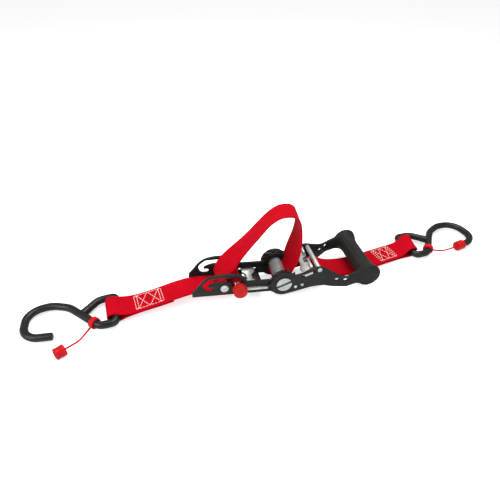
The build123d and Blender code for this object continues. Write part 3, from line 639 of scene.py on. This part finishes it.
under_bolt = -8.55
beside_bolt = -64.05
bar_end = [
    (*spot(bar_u - 0.2, bar_v + BAR_WRAP, FRAME_TIP), 0), (*spot(bar_u - 3.2, bar_v + 2.6, FRAME_TIP), 0),
    (*spot(bar_u - 6.6, bar_v - 1.6, FRAME_TIP), 0),
    (*spot(-55.6, under_bolt, FRAME_TIP), 0), (*spot(-59.0, under_bolt, FRAME_TIP), 0),
]
loop_at_bar = ribbon("loop_webbing_at_bar", bar_end, None, waves=0.0)
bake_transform(loop_at_bar)

free_loop = [
    (*spot(-58.6, under_bolt, FRAME_TIP), 0), (*spot(-62.0, under_bolt + 0.4, FRAME_TIP), 0),
    (*spot(beside_bolt, under_bolt + 2.6, FRAME_TIP), 2), (*spot(beside_bolt, -1.5, FRAME_TIP), 7),
    loop_spot(-61.4, 8.5, 15), loop_spot(-56.0, 16.0, 19), loop_spot(-48.8, 24.4, 14, 0.3),
    loop_spot(-39.0, 34.9, 5, 0.6), loop_spot(-29.0, 45.6, -3, 0.8), loop_spot(-20.0, 56.2, -10, 0.5),
    loop_spot(-12.5, 65.2, -14), loop_spot(-3.5, 71.4, -13), loop_spot(4.5, 72.6, -12),
    loop_spot(12.0, 71.2, -10), loop_spot(16.6, 66.5, -7, -0.5), loop_spot(18.2, 57.0, -3, -0.5),
    loop_spot(18.4, 45.0, 3), loop_spot(16.6, 34.5, 8), loop_spot(14.4, 24.0, 12), loop_spot(12.6, 16.5, 12),
    loop_spot(11.8, 13.2, 10),
]
loop = ribbon("loop_webbing", free_loop, "frame", waves=0.5)
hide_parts("strap_loop")
spool_end = [
    loop_spot(11.95, 13.8, 10), loop_spot(10.4, 8.4, 4), loop_spot(9.1, 4.6, 0), loop_spot(8.4, 2.9, 0),
    loop_spot(6.2, 2.2, 0),
]
loop_at_spool = ribbon("loop_webbing_at_spool", spool_end, None, waves=0.0)
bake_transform(loop_at_spool)

# %% Turns on the bar and on the spool


def arc_route(radius, start, end, count):
    """Points of an arc about the origin; the angles are in degrees."""
    turns = [radians(start + (end - start) * n / (count - 1)) for n in range(count)]
    return [(radius * cos(turn), radius * sin(turn)) for turn in turns]


bar_turn = [(*spot(bar_u + x, bar_v + y, FRAME_TIP), 0) for x, y in arc_route(BAR_WRAP, -88, 88, 9)]
webbing_on_bar = ribbon("webbing_on_bar", bar_turn, "lock_bar", waves=0.0)
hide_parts("strap_on_bar")
slot_run = [(5.0, 0.0), (0.0, 0.0), (-7.0, 0.0)]
spool_turn = slot_run + arc_route(7.95, 190, 334, 12)
spool_route = [(*spot(x, y, SPOOL_TIP), 0) for x, y in spool_turn]
webbing_on_spool = ribbon("webbing_on_spool", spool_route, "spool", waves=0.0)
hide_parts("strap_on_spool")

# %% [markdown]
# ## Sewn patches
# The white stitching is a box with two crosses in it. Each stitch is a short bead of thread
# that sinks at both ends, laid on the strap's own surface, so it stays true where the strap
# slopes. The patch shows on both sides, because a lock stitch does.

# %% Stitch maker
STITCH = 2.6
STITCH_GAP = 0.35
THREAD = 0.40
END_ROWS = 2.6            # between the two rows at each end of a patch
PATCH_WIDTH = 19.0


def stitch_line(beads, start, end):
    """Adds the stitches of one straight seam to a list, as pairs of end points."""
    run = end - start
    count = max(1, round(run.length / (STITCH + STITCH_GAP)))
    for number in range(count):
        first = start + run * (number / count)
        beads.append((first, first + run * ((number + 0.84) / count - number / count)))


def stitch_patch(name, long, wide, middle, along, side, rise, body):
    """A sewn box with two crosses; rise is the height of the cloth's face over the middle."""
    beads = []
    half, edge = long / 2, wide / 2
    inner = half - END_ROWS
    seams = [
        ((-half, -edge), (half, -edge)), ((-half, edge), (half, edge)),
        ((-half, -edge), (-half, edge)), ((half, -edge), (half, edge)),
        ((-inner, -edge), (-inner, edge)), ((inner, -edge), (inner, edge)),
        ((-inner, -edge), (-0.4, edge)), ((-inner, edge), (-0.4, -edge)),
        ((inner, -edge), (0.4, edge)), ((inner, edge), (0.4, -edge)),
    ]
    for start, end in seams:
        stitch_line(beads, Vector(start), Vector(end))
    up = along.cross(side).normalized()
    shape = bmesh.new()
    for face_side in (1, -1):
        for first, second in beads:
            ends = [middle + along * p.x + side * p.y + up * rise * face_side for p in (first, second)]
            run = (ends[1] - ends[0]).normalized()
            out = run.cross(up).normalized()
            rings = []
            for step in range(7):
                share = step / 6
                fat = THREAD * sqrt(max(0.05, 1 - (2 * share - 1) ** 4))
                centre = ends[0].lerp(ends[1], share) + up * face_side * (0.28 * sin(pi * share) - 0.12)
                rings.append([
                    shape.verts.new(centre + out * fat * cos(pi * n / 4) + up * fat * 0.75 * sin(pi * n / 4))
                    for n in range(8)
                ])
            for here, ahead in zip(rings, rings[1:]):
                for n in range(8):
                    m = (n + 1) % 8
                    shape.faces.new((here[n], here[m], ahead[m], ahead[n]))
            shape.faces.new(rings[0])
            shape.faces.new(rings[-1])
    print(name, "stitches", len(beads))
    return rider(name, shape, thread, body)


def patch_between(name, first, second, share, long, body):
    """A patch on the straight run between two points of a doubled strap."""
    along = (second - first).normalized()
    side = Vector((0, 0, 1)).cross(along).normalized()
    return stitch_patch(name, long, PATCH_WIDTH, first.lerp(second, share), along, side, LAYER + WEB_THICK / 2, body)


left_patch = patch_between("left_stitches", left_square, left_swing, 0.62, 27.0, "frame")
patch_ends = [Vector(on_right(share, 2.8)[:3]) for share in (0.72, 0.96)]
right_patch = patch_between("right_stitches", *patch_ends, 0.5, 22.5, "frame")

# %% [markdown]
# ## S hooks
# Each hook is one length of wire bent flat and dipped in black vinyl. It is a round section
# carried along straight runs and arcs. The tip is nearly flat with a rounded rim, and the
# other end is dipped into the neck, where the coat pools into a small fillet.

# %% Tube maker


def tube(shape, line, radius, sides=24, round_start=True, round_end=True):
    """Adds a round section along a line of points; radius may be a function of the share."""
    if not callable(radius):
        fixed = radius
        radius = lambda share: fixed
    lengths = [0.0]
    for here, ahead in zip(line, line[1:]):
        lengths.append(lengths[-1] + (ahead - here).length)
    total = lengths[-1]
    stations = []
    for point, length in zip(line, lengths):
        stations.append((point, radius(length / total)))
    # a rim of three short steps rounds each end
    first_run = (line[1] - line[0]).normalized()
    last_run = (line[-1] - line[-2]).normalized()
    rim = [(1.0, 0.0), (0.93, 0.5), (0.72, 0.86), (0.0, 1.0)]
    rounding = 1.1
    start_rim = rounding if round_start else 0.0
    end_rim = rounding if round_end else 0.0
    before = []
    after = []
    for shrink, push in rim[1:]:
        before.append((line[0] - first_run * (push - 1.0) * start_rim, stations[0][1], shrink))
        after.append((line[-1] + last_run * (push - 1.0) * end_rim, stations[-1][1], shrink))
    body_stations = [(p, r, 1.0) for p, r in stations]
    if round_start:
        body_stations[0] = (line[0] + first_run * rounding, stations[0][1], 1.0)
    if round_end:
        body_stations[-1] = (line[-1] - last_run * rounding, stations[-1][1], 1.0)
    chain = list(reversed(before)) + body_stations + after
    points = [c[0] for c in chain]
    normal = first_run.orthogonal().normalized()
    rings = []
    old = first_run
    for number, (centre, size, shrink) in enumerate(chain):
        run = points[min(number + 1, len(points) - 1)] - points[max(number - 1, 0)]
        run = run.normalized() if run.length > 1e-6 else old
        normal = (old.rotation_difference(run) @ normal)
        normal = (normal - run * normal.dot(run)).normalized()
        old = run
        other = run.cross(normal)
        reach = max(0.02, size * shrink)
        rings.append([
            shape.verts.new(centre + (normal * cos(2 * pi * n / sides) + other * sin(2 * pi * n / sides)) * reach)
            for n in range(sides)
        ])
    for here, ahead in zip(rings, rings[1:]):
        for n in range(sides):
            m = (n + 1) % sides
            shape.faces.new((here[n], here[m], ahead[m], ahead[n]))
    shape.faces.new(rings[0])
    shape.faces.new(rings[-1])
    return total


print("tube sides", tube.__defaults__[0])

# %% Hooks
WIRE_RADIUS = 3.75
HOOK_ROUTE = [
    (27.0, 4.8), (17.0, 16.2), (0, 18.3), (0, -18.3), (15.0, -19.5), (44.0, 12.0), (60.0, 18.5),
    (83.5, 15.5), (83.0, -15.0), (72.0, -21.6), (55.5, -23.0),
]
HOOK_RADII = [12.0, 4.3, 4.3, 9.0, 24.0, 24.0, 17.0, 16.5, 13.0]


class HookPlane:
    """The flat plane of a hook: x points out along the hook, y to the rear."""

    def __init__(self, eye, yaw, tip_down, side):
        pitch = radians(tip_down)
        self.eye = eye
        self.side = side
        self.out = Vector((side * cos(radians(yaw)), side * sin(radians(yaw)), -sin(pitch))).normalized()
        up = Vector((sin(pitch) * self.out.x, sin(pitch) * self.out.y, 1.0)).normalized()
        self.up = up
        self.rear = up.cross(self.out).normalized()

    def spot(self, x, y, z=0.0):
        return self.eye + self.out * x + self.rear * (self.side * y) + self.up * z


left_plane = HookPlane(LEFT_EYE, 0.0, 0.6, -1)
right_plane = HookPlane(RIGHT_EYE, RIGHT_YAW, 0.0, 1)


def hook(name, plane, body):
    corners = [plane.spot(x, y) for x, y in HOOK_ROUTE]
    line = even_steps(rounded_route(corners, HOOK_RADII), 1.2)
    shape = bmesh.new()
    total = tube(shape, line, lambda share: WIRE_RADIUS + 0.05 * sin(share * 60.0) + 0.04 * sin(share * 23.0 + 1.0))
    # the coat pools where the eye's end meets the neck
    pool = [plane.spot(25.2, 6.8), plane.spot(27.2, 4.4), plane.spot(29.4, 1.9), plane.spot(31.5, -0.5)]
    tube(shape, even_steps(pool, 0.8), lambda share: WIRE_RADIUS + 0.35 * sin(pi * share))
    print(name, "wire", round(total, 1), "mm")
    return rider(name, shape, black_vinyl, body)


left_hook = hook("left_s_hook", left_plane, "left_hook")
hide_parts("left_hook")
right_hook = hook("right_s_hook", right_plane, "right_hook")
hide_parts("right_hook")

# %% [markdown]
# ## Turned shapes
# Knobs, caps and rings are all turned about an axis. A short profile of (distance, radius)
# pairs goes round in steps, and a small function of the angle may push the wall in or out,
# which makes flutes and the slight waist that a cast part has.

# %% Turned shape maker


def turn(name, profile, origin, axis, finish, body, slot_name, sides=48, wobble=None):
    """A closed shape turned about an axis; each profile pair is (distance, radius)."""
    axis = axis.normalized()
    normal = axis.orthogonal().normalized()
    other = axis.cross(normal)
    shape = bmesh.new()
    rings = []
    for distance, radius in profile:
        ring = []
        for n in range(sides):
            angle = 2 * pi * n / sides
            reach = radius + (wobble(distance, radius, angle) if wobble else 0.0)
            around = normal * cos(angle) + other * sin(angle)
            ring.append(shape.verts.new(origin + axis * distance + around * max(reach, 0.02)))
        rings.append(ring)
    for here, ahead in zip(rings, rings[1:]):
        for n in range(sides):
            m = (n + 1) % sides
            shape.faces.new((here[n], here[m], ahead[m], ahead[n]))
    if (profile[0][1], profile[0][0]) != (profile[-1][1], profile[-1][0]):
        shape.faces.new(rings[0])
        shape.faces.new(rings[-1])
    print(name, "turned rings", len(rings))
    return rider(name, shape, finish, body)


def rounded(profile, corner, steps=4):
    """Rounds each inner corner of a profile by cutting it and sampling a small curve."""
    out = [profile[0]]
    for before, here, after in zip(profile, profile[1:], profile[2:]):
        a, b, c = Vector(before), Vector(here), Vector(after)
        size_in = min(corner, (a - b).length * 0.45)
        size_out = min(corner, (c - b).length * 0.45)
        start = b + (a - b).normalized() * size_in
        end = b + (c - b).normalized() * size_out
        for n in range(steps + 1):
            t = n / steps
            out.append(tuple(start.lerp(b, t).lerp(b.lerp(end, t), t)))
    return out + [profile[-1]]


print("points of one rounded corner", len(rounded([(0, 0), (0, 9), (9, 9)], 1.0)) - 2)

# %% Knobs on the bar
FRAME_OUT = 16.2
HANDLE_IN = 19.0
KNOB_LENGTH = 8.5
knob_profile = rounded(
    [(FRAME_OUT + 0.7, 0.0), (FRAME_OUT + 0.7, 4.3), (HANDLE_IN, 4.4), (HANDLE_IN, 6.9),
     (HANDLE_IN + 3.5, 7.15), (HANDLE_IN + KNOB_LENGTH, 6.9), (HANDLE_IN + KNOB_LENGTH + 0.35, 0.0)],
    1.5,
)


def flutes(distance, radius, angle):
    """Shallow flutes round the knob's rim, none on its face or neck."""
    if radius < 6.2:
        return 0.0
    return -0.22 * (0.5 + 0.5 * cos(18 * angle))


for side, label in ((-1, "front"), (1, "rear")):
    knob = turn(
        f"red_knob_{label}", knob_profile, spot(bar_u, bar_v, FRAME_TIP), Vector((0, side, 0)), red_knob,
        "lock_bar", "red_knob", 72, flutes,
    )
    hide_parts(f"knob_{label}")

# %% Small rivets in the handle's arms
rivet_profile = [
    (HANDLE_IN, 0.0), (HANDLE_IN, 1.2), (HANDLE_IN + 2.2, 1.2), (HANDLE_IN + 2.35, 1.8),
    (HANDLE_IN + 2.7, 1.7), (HANDLE_IN + 2.95, 1.2), (HANDLE_IN + 3.05, 0.0),
]
for side, label in ((-1, "front"), (1, "rear")):
    for number, place in enumerate(((12.0, -6.4), (19.0, -5.4))):
        turn(
            f"rivet_{label}_{number}", rivet_profile, spot(*place, HANDLE_TIP), Vector((0, side, 0)),
            zinc, "handle", "zinc_steel", 24,
        )

# %% [markdown]
# ## Keepers: ring, tether and cap
# A keeper stops a hook's tip from scratching paint. It is one soft moulding: a split-looking
# band round the wire, a thin tether and a cap. The left cap is pulled off and lies on the
# ground, and the right one is on its tip.

# %% Caps and rings
CAP_BORE = 3.8
CAP_OUTER = 5.5
CAP_LENGTH = 9.5
CAP_LID = 2.5             # thickness of the closed end
cap_profile = rounded(
    [(0.0, 0.0), (0.0, CAP_OUTER - 0.1), (2.0, CAP_OUTER), (CAP_LENGTH - 3.5, CAP_OUTER - 0.25),
     (CAP_LENGTH - 2.0, CAP_OUTER), (CAP_LENGTH, CAP_OUTER - 0.1), (CAP_LENGTH, CAP_BORE),
     (CAP_LID, CAP_BORE), (CAP_LID, 0.0)],
    1.0,
)
left_cap_end = Vector((LEFT_EYE.x - 43.6, LEFT_EYE.y - 41.2, CAP_OUTER))
left_cap_in = Vector((-0.86, -0.51, 0.0)).normalized()
hook_tip = Vector(HOOK_ROUTE[-1])
tip_run = (hook_tip - Vector(HOOK_ROUTE[-2])).normalized()
right_cap_end = right_plane.spot(*(hook_tip + tip_run * CAP_LID))
right_cap_in = (right_plane.spot(0, 0) - right_plane.spot(tip_run.x, tip_run.y)).normalized()


def squeezed(distance, radius, angle):
    """One faint mould line and a slight flat on each side of a soft cap."""
    if radius < CAP_BORE + 0.5:
        return 0.0
    return -0.10 * (0.5 + 0.5 * cos(2 * angle)) + 0.12 * max(0.0, cos(angle)) ** 60


left_cap = turn(
    "left_tip_cap", cap_profile, left_cap_end, left_cap_in, red_vinyl, "left_keeper", "red_vinyl", wobble=squeezed
)
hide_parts("left_cap")
right_cap = turn(
    "right_tip_cap", cap_profile, right_cap_end, right_cap_in, red_vinyl, "right_cap", "red_vinyl", wobble=squeezed
)
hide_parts("right_cap")

neck_start, neck_end = Vector(HOOK_ROUTE[4]), Vector(HOOK_ROUTE[5])
neck_run = (neck_end - neck_start).normalized()
RING_ALONG = 7.0
RING_OUTER = 5.6
ring_x, ring_y = neck_start.x + neck_run.x * RING_ALONG, neck_start.y + neck_run.y * RING_ALONG
ring_profile = rounded(
    [(-2.5, 4.6), (-2.5, RING_OUTER), (2.5, RING_OUTER), (2.5, 3.8), (-2.5, 3.8), (-2.5, 4.6)], 0.7
)
ring_profile.append(ring_profile[0])


def keeper_ring(name, plane, body, node):
    axis = (plane.spot(neck_run.x, neck_run.y) - plane.spot(0, 0)).normalized()
    piece = turn(name, ring_profile, plane.spot(ring_x, ring_y), axis, red_vinyl, body, "red_vinyl")
    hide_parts(node)
    return piece


keeper_ring("left_ring", left_plane, "left_keeper", "left_keeper_ring")
keeper_ring("right_ring", right_plane, "right_hook", "right_keeper_ring")

# %% Tethers
TETHER = 1.8


def tether(name, route, body, node):
    """A thin moulded cord as one smooth spline."""
    line = bpy.data.curves.new(name, "CURVE")
    line.dimensions = "3D"
    line.bevel_depth = TETHER / 2 * MM
    line.bevel_resolution = 4
    line.use_fill_caps = True
    spline = line.splines.new("NURBS")
    spline.points.add(len(route) - 1)
    for point, place in zip(spline.points, route):
        point.co = (place[0] * MM, place[1] * MM, place[2] * MM, 1.0)
        point.radius = 1.0
    spline.order_u = 3
    spline.use_endpoint_u = True
    spline.resolution_u = 16
    line.materials.append(red_vinyl)
    piece = bpy.data.objects.new(name, line)
    bpy.context.scene.collection.objects.link(piece)
    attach(piece, body)
    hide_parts(node)
    reach = sum((Vector(b) - Vector(a)).length for a, b in zip(route, route[1:]))
    print(name, "control runs", round(reach, 1), "mm")
    return piece


def beside_ring(plane, away, drop):
    """A point beside the ring, on its outer side, turned down by drop degrees."""
    flat = away * cos(radians(drop))
    return plane.spot(ring_x + neck_run.y * flat, ring_y - neck_run.x * flat, -away * sin(radians(drop)))


left_tether_route = [
    beside_ring(left_plane, RING_OUTER, 20.0), beside_ring(left_plane, RING_OUTER + 6.4, 20.0),
    Vector((LEFT_EYE.x - 32.8, LEFT_EYE.y - 30.3, 2.0)), left_cap_end - left_cap_in * 7.0, left_cap_end,
]
left_tether = tether("left_cord", left_tether_route, "left_keeper", "left_tether")
right_tether_route = [
    beside_ring(right_plane, RING_OUTER, 0.0), beside_ring(right_plane, RING_OUTER + 8.0, 0.0),
    right_cap_end - right_cap_in * 8.0, right_cap_end,
]
right_tether = tether("right_cord", right_tether_route, "right_hook", "right_tether")

# %% [markdown]
# ## The grip
# The grip is rubber moulded over the ends of the handle's two plates. It is fat at both
# ends, slim in the middle and melts into a boot over each arm. Such a melted form is hard
# to loft, so rough solids are joined, filled by a voxel remesh and smoothed into one skin.
# Long finger grooves are pressed in afterwards, by moving its points.

# %% Grip
GRIP_U = 85.5
GRIP_HALF = 34.0
ARM_MIDDLE = HANDLE_IN + 10.0 + 1.15


def handle_spot(u, across, v):
    return spot(u, v, HANDLE_TIP, across)


def grip_radius(share):
    """Slim middle and full ends, for a share from 0 to 1 along the grip."""
    away = abs(2 * share - 1)
    return 9.0 + 4.3 * max(0.0, (away - 0.4) / 0.6) ** 2 - 0.6 * max(0.0, (away - 0.95) / 0.05)


rough = bmesh.new()
grip_line = [handle_spot(GRIP_U, -GRIP_HALF + 2 * n, 0) for n in range(int(GRIP_HALF) + 1)]
tube(rough, grip_line, grip_radius, 40)
for side in (-1, 1):
    arm = side * ARM_MIDDLE
    boot_line = [
        handle_spot(64.0, arm, -1.8), handle_spot(70.0, arm, -1.6), handle_spot(77.0, arm, -1.0),
        handle_spot(84.0, arm, -0.3),
    ]
    boot = bmesh.new()
    tube(boot, even_steps(boot_line, 1.0), lambda share: 6.0 + 5.2 * share ** 1.2, 32)
    # the boot is flat: it only wraps the arm's thin plate
    for vertex in boot.verts:
        vertex.co.y = SPOOL.y + arm + (vertex.co.y - SPOOL.y - arm) * 0.36
    boot_mesh = bpy.data.meshes.new("boot")
    boot.to_mesh(boot_mesh)
    boot.free()
    rough.from_mesh(boot_mesh)
    bpy.data.meshes.remove(boot_mesh)
bmesh.ops.recalc_face_normals(rough, faces=rough.faces)
grip_mesh = bpy.data.meshes.new("rubber_grip")
rough.to_mesh(grip_mesh)
rough.free()
rough_grip = bpy.data.objects.new("rough_grip", grip_mesh)
bpy.context.scene.collection.objects.link(rough_grip)
remesh = rough_grip.modifiers.new("fill", "REMESH")
remesh.mode = "VOXEL"
remesh.voxel_size = 0.75
smooth = rough_grip.modifiers.new("melt", "SMOOTH")
smooth.factor = 0.6
smooth.iterations = 14
settled = rough_grip.evaluated_get(bpy.context.evaluated_depsgraph_get())
grip_skin = bpy.data.meshes.new_from_object(settled)
bpy.data.objects.remove(rough_grip)
grip_middle = handle_spot(GRIP_U, 0, 0)
for vertex in grip_skin.vertices:
    local = vertex.co - grip_middle
    along = abs(local.y)
    reach = hypot(local.x, local.z)
    out = Vector((local.x, 0.0, local.z)) / max(reach, 0.001)
    around = out.x * 0.62 + out.z * 0.78
    # long grooves on the palm side fade out towards the two ends
    fade = max(0.0, 1 - (along / (GRIP_HALF - 9.0)) ** 6) * max(0.0, min(1.0, (around + 0.1) * 3))
    angle = Vector((out.x, out.z)).angle_signed(Vector((1.0, 0.0)), 0.0)
    groove = 0.5 + 0.5 * cos(12 * angle)
    vertex.co -= out * (0.65 * fade * groove ** 3)
    # a raised band marks where each end swells
    vertex.co += out * (0.3 * max(0.0, 1 - ((along - GRIP_HALF + 6.5) / 1.4) ** 2))
grip = rider("rubber_grip", grip_skin, grip_rubber, "handle")
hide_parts("grip")
print("grip points", len(grip_skin.vertices))

# %% [markdown]
# ## Pressed and plated parts
# Pressed steel has no truly sharp edge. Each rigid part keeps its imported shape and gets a
# narrow rolled edge, which is what catches the light along the plates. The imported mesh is
# copied, its flat faces are merged, and only its real corners are bevelled.

# %% Rolled edges


def rolled(node, finish, roll, body):
    """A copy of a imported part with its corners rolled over; the width is in millimetres."""
    source = frame["nodes"][node]
    mesh = source.data.copy()
    mesh.name = f"{node}_rolled"
    shape = bmesh.new()
    shape.from_mesh(mesh)
    bmesh.ops.remove_doubles(shape, verts=shape.verts, dist=2e-6)
    bmesh.ops.dissolve_limit(
        shape, angle_limit=radians(1.0), use_dissolve_boundaries=False, verts=shape.verts, edges=shape.edges
    )
    shape.to_mesh(mesh)
    shape.free()
    piece = bpy.data.objects.new(f"{node}_rolled", mesh)
    bpy.context.scene.collection.objects.link(piece)
    mesh.materials.clear()
    mesh.materials.append(finish)
    for face in mesh.polygons:
        face.use_smooth = True
        face.material_index = 0
    bevel = piece.modifiers.new("roll", "BEVEL")
    bevel.width = roll * MM
    bevel.segments = 2
    bevel.limit_method = "ANGLE"
    bevel.angle_limit = radians(35.0)
    bevel.use_clamp_overlap = True
    bevel.harden_normals = True
    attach(piece, body)
    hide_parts(node)
    return piece


body_of = {node: body for body, nodes in frame["record"]["behaviour"]["bodies"].items() for node in nodes}
rolled_parts = {
    "frame_plate_front": 0.45, "frame_plate_rear": 0.45, "handle_plate_front": 0.45, "handle_plate_rear": 0.45,
    "frame_cross_web": 0.3, "lock_spring_seat": 0.25, "handle_spacer": 0.3, "lock_pawl": 0.3, "drive_pawl": 0.3,
    "ratchet_wheel_front": 0.3, "ratchet_wheel_rear": 0.3, "spool_half_upper": 0.35, "spool_half_lower": 0.35,
    "cross_bolt": 0.3, "anchor_bolt": 0.3, "cross_bolt_nut": 0.3, "anchor_bolt_nut": 0.3,
    "spool_retaining_ring": 0.15, "lock_bar": 0.4, "cross_bolt_sleeve": 0.3, "grip_rod": 0.3,
}
finishes = {
    "black_coat": black_coat, "zinc_steel": zinc, "dark_steel": dark_steel, "spring_steel": spring_wire,
}
slot_of = {part["node"]: part["material_slot"] for part in frame["record"]["subparts"]}
for node, roll in rolled_parts.items():
    rolled(node, finishes[slot_of[node]], roll, body_of[node])
print("rolled parts", len(rolled_parts))

# %% [markdown]
# ## Pawl springs
# The imported model holds each spring's room as a plain sleeve. Here it becomes a coil of
# round wire: a helix with closer turns at both ends. A spring is squeezed between its pawl
# and its seat. Each coil is left on no body, with its place baked into its points.

# %% Springs
SPRING_RADIUS = 1.85
SPRING_WIRE = 0.25
SLEEVE = 4.2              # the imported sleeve's diameter
SPRING_TURNS = 7
DRIVE_TIP = 17.7          # degrees, the drive pawl's slide


def coil(name, start, end, turns, node):
    """A round wire wound from one point to another."""
    axis = end - start
    run = axis.normalized()
    normal = run.orthogonal().normalized()
    other = run.cross(normal)
    line = []
    steps = turns * 20
    for n in range(steps + 1):
        share = n / steps
        eased = share - 0.10 * sin(2 * pi * share) / (2 * pi) * 4
        angle = 2 * pi * turns * share
        around = normal * cos(angle) + other * sin(angle)
        line.append(start + axis * eased + around * SPRING_RADIUS)
    shape = bmesh.new()
    tube(shape, line, SPRING_WIRE, 8, False, False)
    piece = rider(name, shape, spring_wire, None)
    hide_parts(node)
    print(name, "turns", turns, "length", round(axis.length, 1))
    return piece


def node_span(node, tip):
    """Middle points of a sleeve's two ends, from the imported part's own box and its tip."""
    low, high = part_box(node)
    middle = (low + high) / 2 / MM
    run = Vector((cos(radians(tip)), 0.0, sin(radians(tip))))
    wide = (high - low) / MM
    half = (wide.x - SLEEVE * abs(sin(radians(tip)))) / (2 * abs(cos(radians(tip))))
    return middle - run * (half - 0.3), middle + run * (half - 0.3)


lock_low, lock_high = node_span("lock_pawl_spring", FRAME_TIP)
lock_spring = coil("lock_spring", lock_low, lock_high, SPRING_TURNS, "lock_pawl_spring")
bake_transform(lock_spring)

drive_low, drive_high = node_span("drive_pawl_spring", DRIVE_TIP)
drive_spring = coil("drive_spring", drive_low, drive_high, SPRING_TURNS, "drive_pawl_spring")
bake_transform(drive_spring)
